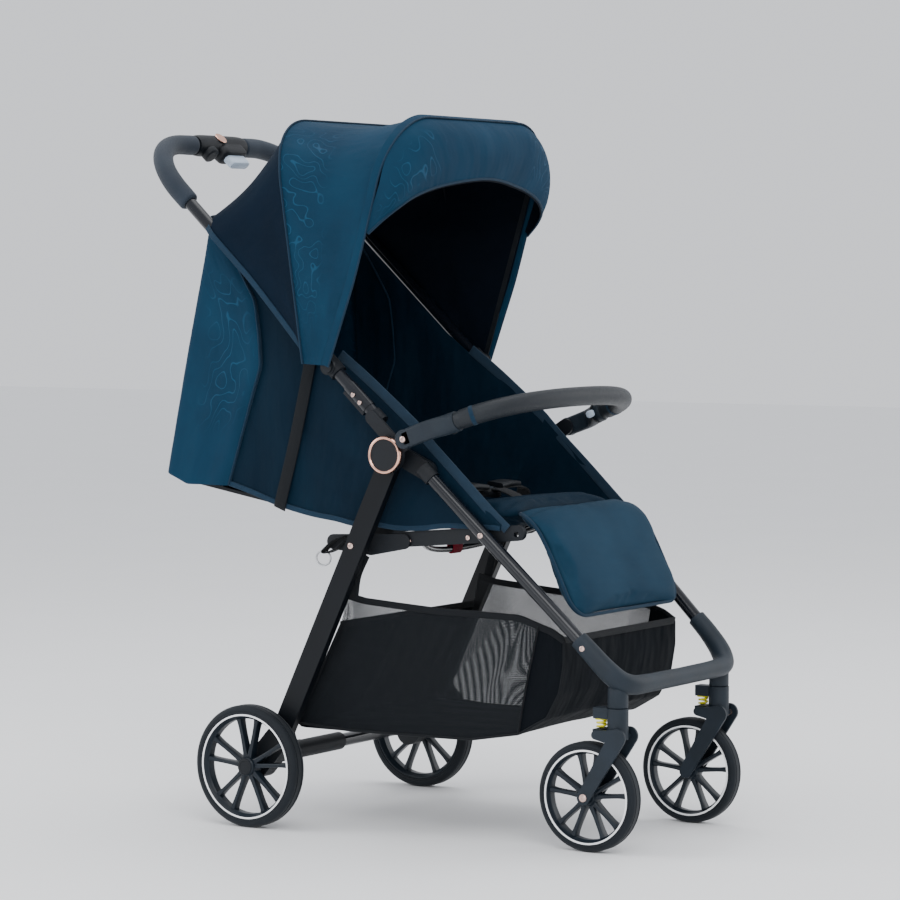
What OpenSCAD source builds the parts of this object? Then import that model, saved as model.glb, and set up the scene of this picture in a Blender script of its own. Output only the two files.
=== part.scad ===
// Folding pushchair with a reclining seat, three-panel hood, bumper bar and shopping basket.
// +Z up, the front is -Y, +X is to the right seen from the back. Origin under the middle of the box.
// Side-view points are [y, z] pairs; angles turn about +X from +Y towards +Z.

/* [Frame] */
// Half the distance between the two upper tubes
tube_x = 200; // [195:1:202]
// Outer radius of the upper tubes and the front legs
tube_r = 9.5; // [8:0.5:9.5]
// Slope of the upper tubes and the handle
tube_slope = 43; // [42:0.5:44]
// Height of the main fold hinge
hub_z = 553; // [550:1:556]

/* [Wheels] */
// Radius of a rear wheel
rear_wheel_r = 90; // [88:1:92]
// Radius of a front wheel
front_wheel_r = 78; // [76:1:79]
// Half the distance between the middles of the front wheels
front_track = 150; // [148:1:152]
// Half the distance between the middles of the rear wheels
rear_track = 232; // [231:0.5:233]

/* [Hood] */
// Half the width of the hood, outside
hood_x = 220; // [219.5:0.5:222]
// Reach of the front bow from the hood hinge
hood_reach = 375; // [372:1:378]

/* [Seat] */
// Half the width of the seat and backrest pads
pad_x = 150; // [140:1:155]
// Length of the backrest
back_length = 388; // [370:1:395]

/* [Hidden] */
$fn = 64;

fit = 0.05;          // running clearance on a radius
gap = 0.4;           // room between parts that pass each other
left = -1;
right = 1;

// Places in the side view
hub = [-52, hub_z];
tube_offset = 18;    // the tubes pass this far above the fold hinge
tube_start = 46;     // the tubes begin this far from the fold hinge, so that they clear when folded
leg_foot = [-361, 283];
leg_foot_x = 171;
rear_axle = [182, rear_wheel_r];
front_axle = [-347, front_wheel_r];
swivel_y = -392;
fork_pivot = [-401, 166];
spring_y = -366;
hood_hinge = [55, 677];
back_pivot = [-40, 428];
leg_pivot = [-240, 444];
bumper_pivot = [-89, 577];
link_pin = [18, 419];
crossbar = [180, 100];

// Layers beside each other at the fold hinge, as distances from the middle
bracket_layer = [186, 195];
rear_leg_layer = [196.5, 209.5];
plate_layer = [210.5, 215.5];
cover_layer = [216.5, 221.5];
badge_layer = [221.5, 230.5];
arm_layer = [222.5, 235.5];

function along(slope) = [cos(slope), sin(slope)];
function tube_point(s) = hub + tube_offset * along(tube_slope + 90) + s * along(tube_slope);
function leg_top() = hub + tube_offset * along(tube_slope + 90);
function at(x, p) = [x, p[0], p[1]];

leg_slope = atan2(leg_top()[1] - leg_foot[1], leg_top()[0] - leg_foot[0]);
leg_run = norm(leg_top() - leg_foot);
function leg_x(s) = tube_x + (leg_foot_x - tube_x) * s / leg_run;
function leg_point(s, side) = at(side * leg_x(s), leg_top() - s * along(leg_slope));

// A round rod from one point to another
module rod(a, b, r) {
  v = b - a;
  translate(a) rotate([0, acos(v[2] / norm(v)), atan2(v[1], v[0])]) cylinder(h = norm(v), r = r);
}

// A round bar along X between two distances from the middle
module pin(side, xs, p, r) {
  lo = min(side * xs[0], side * xs[1]);
  translate([lo, p[0], p[1]]) rotate([0, 90, 0]) cylinder(h = abs(xs[1] - xs[0]), r = r);
}

// A flat plate whose outline is drawn in the side view, between two distances from the middle
module plate(side, xs) {
  lo = min(side * xs[0], side * xs[1]);
  translate([lo, 0, 0]) rotate([90, 0, 90]) linear_extrude(abs(xs[1] - xs[0])) children();
}

// A long plate with round ends between two side-view points, the same radius at both
module strip(a, b, r) {
  v = b - a;
  translate(a) circle(r);
  translate(b) circle(r);
  translate(a) rotate(atan2(v[1], v[0])) translate([0, -r]) square([norm(v), 2 * r]);
}

module both() {
  children();
  mirror([1, 0, 0]) children();
}

/* Front frame */

module front_legs() {
  color([0.03, 0.04, 0.06]) both() difference() {
    rod(leg_point(tube_start + 4, left), leg_point(leg_run, left), tube_r);
    rod(leg_point(tube_start, left), leg_point(leg_run + 5, left), tube_r - 1.5);
  }
}

// Inner plate, the fold hinge pin and the socket of the front leg
module hub_brackets() {
  socket_end = tube_start + 22;
  color([0.08, 0.1, 0.13]) both() {
    difference() {
      union() {
        plate(left, bracket_layer) strip(hub, leg_top() - (tube_start + 6) * along(leg_slope), 14);
        rod(leg_point(tube_start, left), leg_point(socket_end, left), tube_r + 2.5);
      }
      rod(leg_point(tube_start + 4 - fit, left), leg_point(socket_end + 5, left), tube_r + fit);
    }
    pin(left, [bracket_layer[1], cover_layer[0]], hub, 7);
  }
}

// Fixed outer cover with the ear that carries the bumper bar
module hub_covers() {
  color([0.1, 0.12, 0.15]) both() {
    plate(left, cover_layer) { circle_at(hub, 27); strip(hub, bumper_pivot, 12); }
    pin(left, [badge_layer[0], badge_layer[1] - 3], hub, 23);
    pin(left, [cover_layer[1], arm_layer[1]], bumper_pivot, 5);
  }
}

module circle_at(p, r) {
  translate(p) circle(r);
}

module badge_rings() {
  color([0.72, 0.42, 0.33]) both() translate(at(-badge_layer[0], hub)) rotate([0, -90, 0])
    rotate_extrude() {
      translate([23 + fit, 0]) square([3.6, 6]);
      translate([25, 6]) circle(1.9);
    }
}

// Cast bracket: two sockets, the cross member and the caster stems
module front_bracket() {
  stem_top = 226;
  corner = [-400, 240];
  cross = [-408, 236];
  color([0.2, 0.27, 0.35]) difference() {
    union() {
      both() {
        hull() {
          rod(leg_point(leg_run - 22, left), leg_point(leg_run + 2, left), tube_r + 3, $fn = 32);
          translate(at(-front_track - 4, corner)) sphere(16, $fn = 32);
        }
        translate([-front_track, swivel_y, 206]) cylinder(h = stem_top - 206, r = 14.5);
        translate([-front_track, swivel_y, 173]) cylinder(h = 35, r = 6);
      }
      hull() both() translate(at(-front_track - 2, cross)) sphere(15, $fn = 32);
    }
    both() rod(leg_point(leg_run - 30, left), leg_point(leg_run + fit, left), tube_r + fit);
  }
}

module frame_rivets() {
  rail_pin = leg_top() - leg_to_rail() * along(leg_slope);
  color([0.8, 0.72, 0.68]) both() {
    pin(left, [arm_layer[1] + fit, arm_layer[1] + 2], bumper_pivot, 4.5);
    pin(left, [leg_point_x(rail_pin) - tube_r - 3.6, leg_point_x(rail_pin) - tube_r - 0.6], rail_pin, 4);
    pin(left, [leg_foot_x + tube_r + 5, leg_foot_x + tube_r + 6.8], leg_top() - (leg_run - 12) * along(leg_slope), 4);
  }
}

function leg_to_rail() = 180;
function leg_point_x(p) = leg_x(norm(leg_top() - p));

rail_layer = [166, 174];
rail_front = [-242, 446];

module seat_rails() {
  color([0.05, 0.07, 0.1]) both() difference() {
    plate(left, rail_layer) union() {
      strip(back_pivot, rail_front, 11);
      translate(back_pivot) circle(14);
    }
    pin(left, [rail_layer[0] - 1, rail_layer[1] + 1], back_pivot, 5 + fit);
    pin(left, [rail_layer[0] - 1, rail_layer[1] + 1], leg_pivot, 4 + fit);
  }
}

// Curved bar that joins the rails under the seat, an arc that bows down and back
bar_end = [-82, 432];
bar_sag = 62;

module under_seat_bar() {
  half = rail_layer[0] + 4;
  radius = (half * half + bar_sag * bar_sag) / (2 * bar_sag);
  half_angle = asin(half / radius);
  color([0.05, 0.06, 0.08]) difference() {
    translate(at(0, bar_end)) rotate([-28, 0, 0]) translate([0, bar_sag - radius, 0]) rotate([0, 0, 90 - half_angle])
      rotate_extrude(angle = 2 * half_angle, $fn = 128) translate([radius, 0]) circle(4.5, $fn = 32);
    both() plate(left, [rail_layer[0] - fit, rail_layer[1] + 9]) translate(bar_end) square(60, center = true);
  }
}

module pull_strap() {
  loop = bar_end + (bar_sag) * along(-28);
  color([0.45, 0.03, 0.08]) plate(left, [-14, 14]) difference() {
    union() {
      circle_at(loop, 7);
      translate([loop[0] - 7, loop[1]]) square([2.4, 46]);
    }
    circle_at(loop, 5.2);
  }
}

module rounded_box(size, r) {
  hull() for (x = [-1, 1], y = [-1, 1], z = [-1, 1])
    translate([x * (size[0] / 2 - r), y * (size[1] / 2 - r), z * (size[2] / 2 - r)]) sphere(r, $fn = 24);
}

module seat_cushion() {
  color([0.07, 0.2, 0.34]) translate([0, -162, 464]) rotate([-6, 0, 0]) rounded_box([2 * pad_x, 146, 28], 12);
}

// Side cloth in front of the fold hinge
module side_panel_front() {
  color([0.03, 0.2, 0.32]) both() plate(left, [175.6, 177.4])
    polygon([[-50, 560], [-64, 548], [-182, 446], [-120, 446], [-70, 442], [-42, 442], [-30, 500], [-34, 558]]);
}

// Cargo basket with an open top, cut from a side outline and a plan outline
basket_side = [[44, 345], [128, 152], [124, 146], [-162, 146], [-240, 159], [-285, 184], [-306, 222],
  [-312, 298], [-240, 326], [-150, 330], [-40, 334]];
basket_inner = [[40, 360], [123, 154], [122, 150], [-162, 150], [-239, 163], [-282, 187], [-302, 223],
  [-308, 320], [-240, 345], [-150, 350], [-40, 355]];

module basket_plan(shrink) {
  polygon([[-188 + shrink, 150], [188 - shrink, 150], [160 - shrink, -330], [-160 + shrink, -330]]);
}

module basket() {
  color([0.02, 0.08, 0.13]) difference() {
    intersection() {
      plate(left, [-200, 200]) polygon(basket_side);
      translate([0, 0, 100]) linear_extrude(300) basket_plan(0);
    }
    intersection() {
      plate(left, [-210, 210]) polygon(basket_inner);
      translate([0, 0, 90]) linear_extrude(330) basket_plan(4);
    }
  }
}

// Harness

module harness_straps() {
  color([0.03, 0.03, 0.04]) {
    translate([-14, -140, 481.5]) rotate([8, 0, 0]) cube([28, 30, 2]);
    both() translate([-100, -92, 484]) rotate([0, 0, 6]) cube([72, 26, 3]);
  }
}

module buckle() {
  color([0.04, 0.05, 0.06]) translate([0, -84, 490]) rotate([8, 0, 0]) difference() {
    translate([0, 0, -6]) cylinder(h = 12, r = 21);
    translate([0, 0, 1]) cylinder(h = 6, r = 9);
  }
}

module buckle_button() {
  color([0.1, 0.11, 0.13]) translate([0, -84, 490]) rotate([8, 0, 0]) translate([0, 0, 3.5]) cylinder(h = 4, r = 8.7);
}

/* Upper frame */

handle_end = 646;      // the handle's cross bar, measured along the upper tubes
handle_bend = 110;     // bend radius of the handle
grip_start = 513;
grip_r = 15;
box_half = 60;

// The plane of the handle: X across, Y along the tubes
module in_handle_plane() {
  translate([0, tube_point(0)[0], tube_point(0)[1]]) rotate([tube_slope, 0, 0]) children();
}

// Half of a U-shaped bar, from a start along the leg to an end beside the middle
module half_u(start, r, inner, half_width, reach, bend, middle) {
  difference() {
    union() {
      translate([-half_width, start, 0]) rotate([-90, 0, 0]) cylinder(h = reach - bend - start, r = r);
      translate([-half_width + bend, reach - bend, 0]) rotate([0, 0, 90])
        rotate_extrude(angle = 90, $fn = 96) translate([bend, 0]) circle(r, $fn = 48);
      translate([-half_width + bend, reach, 0]) rotate([0, 90, 0]) cylinder(h = half_width - bend - middle, r = r);
    }
    if (inner > 0) {
      translate([-half_width, start - 1, 0]) rotate([-90, 0, 0]) cylinder(h = reach - bend - start + 1, r = inner);
      translate([-half_width + bend, reach - bend, 0]) rotate([0, 0, 90])
        rotate_extrude(angle = 90, $fn = 96) translate([bend, 0]) circle(inner, $fn = 48);
      translate([-half_width + bend, reach, 0]) rotate([0, 90, 0])
        cylinder(h = half_width - bend - middle + 1, r = inner);
    }
  }
}

module handle_tube() {
  color([0.02, 0.02, 0.03]) in_handle_plane() both()
    half_u(tube_start + 4, tube_r, 0, tube_x, handle_end, handle_bend, 0);
}

module handle_grips() {
  color([0.13, 0.17, 0.23]) in_handle_plane() both()
    half_u(grip_start, grip_r, tube_r + fit, tube_x, handle_end, handle_bend, box_half);
}

module handle_box() {
  color([0.06, 0.07, 0.09]) in_handle_plane() translate([0, handle_end, 0]) difference() {
    union() {
      translate([-box_half + gap, 0, 0]) rotate([0, 90, 0]) cylinder(h = 2 * (box_half - gap), r = 17);
      translate([-14, -28, -14]) cube([60, 28, 28]);
    }
    rotate([0, 90, 0]) cylinder(h = 4 * box_half, r = tube_r + fit, center = true);
    translate([-8, -40, -8]) cube([48, 26, 16]);
    translate([-36, -30, 0]) rotate([-90, 0, 0]) cylinder(h = 19, r = 13.3);
  }
}

// Pale lever that the fingers squeeze towards the handle
module squeeze_lever() {
  color([0.75, 0.79, 0.84]) in_handle_plane() translate([0, handle_end, 0])
    translate([-7.4, -44, -7.4]) cube([46.8, 20, 14.8]);
}

module thumb_button() {
  color([0.05, 0.06, 0.07]) in_handle_plane() translate([-36, handle_end - 24, 0]) rotate([-90, 0, 0])
    cylinder(h = 10, r = 13);
}

// Plates of the upper half of the fold hinge, with the sockets of the upper tubes
module hub_plates() {
  socket_end = tube_start + 20;
  color([0.07, 0.09, 0.12]) both() difference() {
    union() {
      plate(left, plate_layer) { circle_at(hub, 25); strip(tube_point(6), tube_point(socket_end - 8), 10); }
      in_handle_plane() translate([-tube_x, tube_start + 1, 0]) rotate([-90, 0, 0])
        cylinder(h = socket_end - tube_start - 1, r = tube_r + 2);
    }
    pin(left, [plate_layer[0] - 1, plate_layer[1] + 1], hub, 7 + fit);
    in_handle_plane() translate([-tube_x, tube_start + 4 - fit, 0]) rotate([-90, 0, 0]) cylinder(h = 60, r = tube_r + fit);
  }
}

// Latch blocks that slide on the upper tubes
module latch_sliders() {
  color([0.04, 0.05, 0.07]) in_handle_plane() both() difference() {
    translate([-tube_x, 76, 0]) {
      rotate([-90, 0, 0]) cylinder(h = 46, r = tube_r + 1.2);
      translate([-4, 0, -14]) cube([8, 46, 8]);
    }
    translate([-tube_x, 60, 0]) rotate([-90, 0, 0]) cylinder(h = 90, r = tube_r + fit);
  }
}

/* Hood */

disc_layer = [213, 214.4];
front_bow_layer = [214.6, 216];
mid_bow_layer = [216.2, 217.3];
front_bow_angle = 107;
mid_bow_angle = 74.5;
cloth = 1.6;
hood_bend = 95;

module hood_clamps() {
  s = norm(hood_hinge - tube_point(0));
  color([0.05, 0.06, 0.08]) both() difference() {
    union() {
      in_handle_plane() translate([-tube_x, s - 15, 0]) rotate([-90, 0, 0]) cylinder(h = 30, r = tube_r + 3.3);
      pin(left, [tube_x, disc_layer[0] - 0.2], hood_hinge, 11);
    }
    in_handle_plane() translate([-tube_x, s - 20, 0]) rotate([-90, 0, 0]) cylinder(h = 40, r = tube_r + fit);
  }
}

module hood_hinge_discs() {
  color([0.06, 0.07, 0.09]) both() {
    pin(left, disc_layer, hood_hinge, 12);
    pin(left, [disc_layer[1], mid_bow_layer[1]], hood_hinge, 4);
  }
}

// Outline of a U drawn as reach and distance from the middle, with round shoulders
module u_outline(half, reach, bend, start) {
  union() {
    translate([start, -half]) square([reach - bend - start, 2 * half]);
    translate([start, -half + bend]) square([reach - start, 2 * (half - bend)]);
    for (s = [-1, 1]) translate([reach - bend, s * (half - bend)]) circle(bend, $fn = 96);
  }
}

// The same U with its inside taken out
module u_band(half, reach, bend, thick, start) {
  difference() {
    u_outline(half, reach, bend, start);
    u_outline(half - thick, reach - thick, bend - thick, start - 1);
  }
}

// A flat U strip on the hood hinge, standing at an angle
module bow(angle, layer, reach) {
  color([0.04, 0.05, 0.07]) translate(at(0, hood_hinge)) rotate([angle, 0, 0]) difference() {
    union() {
      translate([0, 0, -4]) linear_extrude(8) rotate(90) u_band(layer[1], reach, hood_bend, layer[1] - layer[0], 0);
      both() translate([-layer[1], 0, 0]) rotate([0, 90, 0]) cylinder(h = layer[1] - layer[0], r = 9);
    }
    rotate([0, 90, 0]) cylinder(h = 500, r = 4 + fit, center = true);
  }
}

module front_bow() { bow(front_bow_angle, front_bow_layer, hood_reach - 2); }
module mid_bow() { bow(mid_bow_angle, mid_bow_layer, hood_reach - 9.5); }

// A point of a bow's U outline, t from -1 at the left foot to 1 at the right foot
function u_path(t, half, reach, bend, low) =
  let(side = t < 0 ? -1 : 1, leg = reach - bend - low, arc = bend * PI / 2, flat = half - bend,
      l = (1 - abs(t)) * (leg + arc + flat))
  l < leg ? [side * half, low + l]
  : l < leg + arc ? let(a = (l - leg) / bend * 180 / PI) [side * (half - bend + bend * cos(a)), reach - bend + bend * sin(a)]
  : [side * (half - bend - (l - leg - arc)), reach];

// A point at a distance across and a reach from the hood hinge, in a plane at an angle
function on_bow(q, angle) = at(q[0], hood_hinge + q[1] * along(angle));

hood_steps = 24;
hood_foot = 46;        // the cloth stops this far from the hinge
function crown(i) = sin(90 * (1 - abs(i / hood_steps) ^ 1.6));  // 0 at the feet, 1 over the middle

// Closed skin through sections of points. Both of its sides are cut into triangles along the same diagonals
module skin(sections) {
  n = len(sections);
  m = len(sections[0]);
  color([0.07, 0.22, 0.36]) polyhedron([for (s = sections) each s], concat(
    [for (i = [0 : n - 2], j = [0 : m - 1]) each let(a = m * i + j, b = m * i + (j + 1) % m, c = b + m, d = a + m)
      j < m / 2 ? [[a, b, c], [a, c, d]] : [[a, b, d], [b, c, d]]],
    [for (end = [0, 1], j = [0 : m / 2 - 2]) each let(o = end * m * (n - 1), a = o + j, b = o + m - 1 - j)
      end == 0 ? [[a, b, a + 1], [a + 1, b, b - 1]] : [[a, a + 1, b], [a + 1, b - 1, b]]]));
}

// A point of an outline [half, reach, bend, angle] shrunk by a wall
function hood_edge(t, o, w) = on_bow(u_path(t, o[0] - w, o[1] - w, o[2] - w, hood_foot), o[3]);

// Cloth from a rear outline to a front outline, sagging between them
module hood_cloth(rear, front, sag) {
  skin([for (i = [-hood_steps : hood_steps]) let(
    t = i / hood_steps,
    drop = [0, 0, sag * crown(i)])
    [hood_edge(t, rear, 0), (hood_edge(t, rear, 0) + hood_edge(t, front, 0)) / 2 - drop, hood_edge(t, front, 0),
      hood_edge(t, front, cloth), (hood_edge(t, rear, cloth) + hood_edge(t, front, cloth)) / 2 - drop,
      hood_edge(t, rear, cloth)]]);
}

rear_outline = [215, 322, 88, 46.5];
mid_outline = [hood_x, 373, hood_bend, mid_bow_angle];
front_outline = [hood_x, hood_reach + cloth, hood_bend + cloth, front_bow_angle];

module hood_rear_panel() { hood_cloth(rear_outline, mid_outline - [0, 0, 0, 0.1], 2); }
module hood_mid_panel() { hood_cloth(mid_outline, front_outline - [0, 0, 0, 0.1], 10); }

// Peak: a skin between the front bow's outline and a lower front edge
module hood_visor() {
  brim = 210;
  skin([for (i = [-hood_steps : hood_steps]) let(
    o = u_path(i / hood_steps, front_outline[0], front_outline[1], front_outline[2], brim),
    e = [o[0] * (1 - 0.1 * crown(i)), o[1] - 68 * crown(i)],
    f = 9 + 49 * crown(i))
    [for (q = [[o, 4.6], [e, f], [[e[0] * 0.993, e[1] - 2], f - 1], [[o[0] * 0.993, o[1] - cloth], 4.6]])
      on_bow(q[0], front_bow_angle) + q[1] * [0, along(front_bow_angle + 90)[0], along(front_bow_angle + 90)[1]]]]);
}

// Cloth that hangs from the hood's rear edge round the end of the backrest
curtain_outline = [[291, 861], [204, 771], [195, 680], [217, 629], [254, 499], [258, 486], [353, 514]];

module rear_curtain() {
  color([0.09, 0.27, 0.4]) difference() {
    plate(left, [-186, 186]) polygon(curtain_outline);
    plate(left, [-184, 184]) polygon([for (p = curtain_outline) p - [cloth, 0.4]]);
    plate(left, [-184, 184]) polygon([[100, 400], [348, 400], [350, 514], [288, 862], [100, 900]]);
  }
}

module side_panel_rear() {
  color([0.03, 0.2, 0.32]) both() plate(left, [180, 182])
    polygon([[-32, 556], [-24, 582], [50, 655], [200, 790], [196, 680], [217, 629], [253, 496],
      [165, 470], [65, 452], [-30, 444]]);
}

/* Backrest and leg rest */

back_slope = 10;

module on_back() {
  translate(at(0, back_pivot)) rotate([back_slope, 0, 0]) children();
}

module backrest_pivots() {
  color([0.06, 0.07, 0.09]) both() {
    pin(left, [158, rail_layer[1]], back_pivot, 5);
    pin(left, [158, rail_layer[0] - gap], back_pivot, 10);
  }
}

module backrest_board() {
  color([0.05, 0.06, 0.08]) {
    on_back() {
      translate([-pad_x + 4, 34, 0]) cube([2 * pad_x - 8, back_length - 34, 5]);
      both() {
        translate([-157.5, -9, -9]) cube([6, 62, 18]);
        translate([-152, 34, 0]) cube([8, 19, 5]);
      }
    }
  }
}

module backrest_pad() {
  color([0.06, 0.18, 0.3]) on_back() translate([0, back_length / 2 + 20, 5 + gap + 12.5])
    rounded_box([2 * pad_x - 14, back_length - 42, 25], 11);
}

module shoulder_pads() {
  color([0.03, 0.04, 0.05]) on_back() both() translate([-56, 70, 31.4]) cube([38, 130, 7]);
}

leg_slope_rest = 242;
legrest_length = 160;

// Pad between two side arms that hang on the rails
module legrest_pad() {
  down = along(leg_slope_rest);
  lift = 10 * along(leg_slope_rest - 90);
  half = pad_x + 5;
  arm_out = half + 6.6;
  color([0.16, 0.32, 0.45]) {
    plate(1, [-half, half]) hull() {
      translate(leg_pivot + lift + 27 * down) circle(15);
      translate(leg_pivot + lift + (legrest_length - 3) * down) circle(15);
    }
    both() {
      plate(left, [arm_out - 4.6, arm_out]) hull() {
        translate(leg_pivot) circle(6);
        translate(leg_pivot + 90 * down) circle(6);
      }
      pin(left, [arm_out - 2, rail_layer[1]], leg_pivot, 4);
    }
  }
}

/* Bumper bar */

bumper_rise = 160;
bumper_x = 205;
arm_length = 78;

module in_bumper_plane() {
  translate(at(0, bumper_pivot)) rotate([bumper_rise - 180, 0, 0]) mirror([0, 1, 0]) children();
}

module bumper_arms() {
  lo = arm_layer[0];
  color([0.2, 0.26, 0.33]) both() difference() {
    union() {
      plate(left, arm_layer) circle_at(bumper_pivot, 15);
      in_bumper_plane() {
        translate([-arm_layer[1], 0, -14]) cube([arm_layer[1] - lo, 36, 28]);
        hull() {
          translate([-arm_layer[1] + 0.3, 30, -13.7]) cube([arm_layer[1] - lo - 0.6, 8, 27.4]);
          translate([-bumper_x - 9, arm_length - 8, -12]) cube([18, 8, 24]);
        }
      }
    }
    pin(left, [arm_layer[0] - 1, arm_layer[1] + 1], bumper_pivot, 5 + fit);
    in_bumper_plane() translate([-bumper_x - 4.4, arm_length - 24, -6.4]) cube([8.8, 40, 12.8]);
    in_bumper_plane() translate([-bumper_x + 4, arm_length - 14, 0]) rotate([0, 90, 0]) cylinder(h = 12, r = 5.2);
  }
}

// The bar itself, with tongues that slide into the arms
module bumper_bar() {
  start = arm_length + gap;
  color([0.28, 0.36, 0.44]) in_bumper_plane() both() {
    half_u(start, 15, 0, bumper_x, 166, 86, 0);
    difference() {
      translate([-bumper_x - 4, arm_length - 22, -6]) cube([8, 23, 12]);
      translate([-bumper_x + 0.4, arm_length - 14, 0]) rotate([0, 90, 0]) cylinder(h = 10, r = 5.2);
    }
  }
}

module bumper_button(side) {
  color([0.72, 0.76, 0.8]) in_bumper_plane() translate([side * (bumper_x - 4.6), arm_length - 14, 0])
    rotate([0, -side * 90, 0]) cylinder(h = 6.4, r = 4.8);
}

module bumper_button_left() { bumper_button(left); }
module bumper_button_right() { bumper_button(right); }

/* Rear frame */

rear_leg_foot = [152, 120];
rear_leg_half = 16;

module rear_legs() {
  color([0.02, 0.05, 0.1]) both() difference() {
    plate(left, rear_leg_layer) union() {
      strip(hub, rear_leg_foot, rear_leg_half);
    }
    pin(left, [rear_leg_layer[0] - 1, rear_leg_layer[1] + 1], hub, 7 + fit);
    pin(left, [rear_leg_layer[0] - 1, rear_leg_layer[1] + 1], link_pin, 4 + fit);
  }
}

// Foot brackets with the stub axles of the rear wheels
module rear_brackets() {
  color([0.05, 0.07, 0.1]) both() difference() {
    union() {
      plate(left, [190, 215]) hull() {
        circle_at(rear_leg_foot + [-4, 8], 20);
        circle_at(rear_axle, 20);
      }
      pin(left, [215, 243], rear_axle, 5);
    }
    plate(left, [rear_leg_layer[0] - fit, rear_leg_layer[1] + fit]) strip(hub, rear_leg_foot, rear_leg_half + fit);
    pin(left, [189, 196], crossbar, 10 + fit);
  }
}

module rear_axle_tube() {
  color([0.03, 0.05, 0.08]) pin(left, [-195, 195], crossbar, 10);
}

module brake_pedal() {
  color([0.05, 0.07, 0.1]) difference() {
    union() {
      pin(left, [4, 186], crossbar, 13.5);
      translate([-130, crossbar[0] + 6, crossbar[1] - 4]) cube([90, 42, 7]);
    }
    pin(left, [0, 190], crossbar, 10 + fit);
  }
}

link_layer = [175, 178];

// Side links between the rear legs and the seat rails
module side_links() {
  color([0.04, 0.06, 0.09]) both() {
    plate(left, link_layer) hull() {
      translate([-52, 426]) circle(11);
      translate([4, 417]) circle(13);
      translate([70, 421]) circle(11);
    }
    pin(left, [link_layer[1] - 1.5, rear_leg_layer[1]], link_pin, 4);
  }
}

// Webbing loops with a ring, behind the rear legs
module carry_loops() {
  color([0.04, 0.05, 0.06]) both() {
    plate(left, [179, 183]) difference() {
      strip([50, 426], [72, 412], 10);
      strip([50, 426], [72, 412], 7.5);
    }
    translate([-181, 82, 398]) rotate([0, 90, 0]) rotate_extrude() translate([9, 0]) circle(1.5, $fn = 24);
  }
}

/* Wheels */

module rim(p, track, side, radius, width, bore) {
  hub_r = 13;
  rim_in = radius * 0.76;
  color([0.05, 0.08, 0.12]) difference() {
    union() {
      pin(side, [track - width / 2 + 1, track + width / 2 - 1], p, hub_r);
      difference() {
        pin(side, [track - width / 2 + 1, track + width / 2 - 1], p, radius * 0.86);
        pin(side, [track - width, track + width], p, rim_in);
      }
      for (i = [0 : 4], s = [-1, 1]) plate(side, [track - 5, track + 5]) translate(p)
        rotate(90 + i * 72 + s * 13) translate([hub_r - 3, -3]) square([rim_in - hub_r + 5, 6]);
    }
    pin(side, [track - width, track + width], p, bore + fit);
  }
}

module tyre(p, track, side, radius, width) {
  inner = radius * 0.86 + 0.5;
  round = 5;
  color([0.09, 0.12, 0.16]) translate([side * track, p[0], p[1]]) rotate([0, 90, 0]) rotate_extrude($fn = 128)
    union() {
      translate([inner, -width / 2]) square([radius - inner - round, width]);
      translate([inner, -width / 2 + round]) square([radius - inner, width - 2 * round]);
      for (s = [-1, 1]) translate([radius - round, s * (width / 2 - round)]) circle(round, $fn = 32);
    }
}

rear_width = 28;
front_width = 26;

module rear_rim_left() { rim(rear_axle, rear_track, left, rear_wheel_r, rear_width, 5); }
module rear_rim_right() { rim(rear_axle, rear_track, right, rear_wheel_r, rear_width, 5); }
module rear_tyre_left() { tyre(rear_axle, rear_track, left, rear_wheel_r, rear_width); }
module rear_tyre_right() { tyre(rear_axle, rear_track, right, rear_wheel_r, rear_width); }
module front_rim_left() { rim(front_axle, front_track, left, front_wheel_r, front_width, 4); }
module front_rim_right() { rim(front_axle, front_track, right, front_wheel_r, front_width, 4); }
module front_tyre_left() { tyre(front_axle, front_track, left, front_wheel_r, front_width); }
module front_tyre_right() { tyre(front_axle, front_track, right, front_wheel_r, front_width); }

/* Casters */

spring_z = [176, 190];

module caster_housing(side) {
  color([0.1, 0.14, 0.19]) translate([side * front_track, 0, 0]) difference() {
    union() {
      translate([0, swivel_y, 162]) cylinder(h = 205.6 - 162, r = 15);
      translate([-9, swivel_y, spring_z[1] + fit]) cube([18, spring_y - swivel_y + 9, 205.6 - spring_z[1] - fit]);
    }
    translate([0, swivel_y, 172]) cylinder(h = 70, r = 6 + fit);
    translate([-20, fork_pivot[0], fork_pivot[1]]) rotate([0, 90, 0]) cylinder(h = 40, r = 3.5 + fit);
  }
}

module caster_housing_left() { caster_housing(left); }
module caster_housing_right() { caster_housing(right); }

// Trailing fork: two cheeks beside the housing and the wheel, joined above the wheel
module fork(side) {
  cheek = [15.6, 19.6];
  color([0.06, 0.1, 0.14]) translate([side * front_track, 0, 0]) {
    for (s = [-1, 1]) plate(s, cheek) {
      hull() {
        circle_at(fork_pivot, 13);
        circle_at(front_axle, 10);
      }
      hull() {
        circle_at(fork_pivot, 12);
        circle_at([spring_y, spring_z[0] - 8], 6);
      }
    }
    plate(1, [-15.6, 15.6]) polygon([[spring_y - 8, spring_z[0] - 9], [spring_y + 6, spring_z[0] - 9],
      [spring_y + 6, spring_z[0] - fit], [spring_y - 8, spring_z[0] - fit]]);
    pin(1, [-15.6, 15.6], front_axle, 4);
    pin(1, [-15.6, 15.6], fork_pivot, 3.5);
  }
}

module fork_left() { fork(left); }
module fork_right() { fork(right); }

module spring(side) {
  color([0.75, 0.72, 0.05]) translate([side * front_track, spring_y, spring_z[0]]) difference() {
    cylinder(h = spring_z[1] - spring_z[0], r = 6.5);
    translate([0, 0, -1]) cylinder(h = 20, r = 4);
  }
}

module spring_left() { spring(left); }
module spring_right() { spring(right); }

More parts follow.
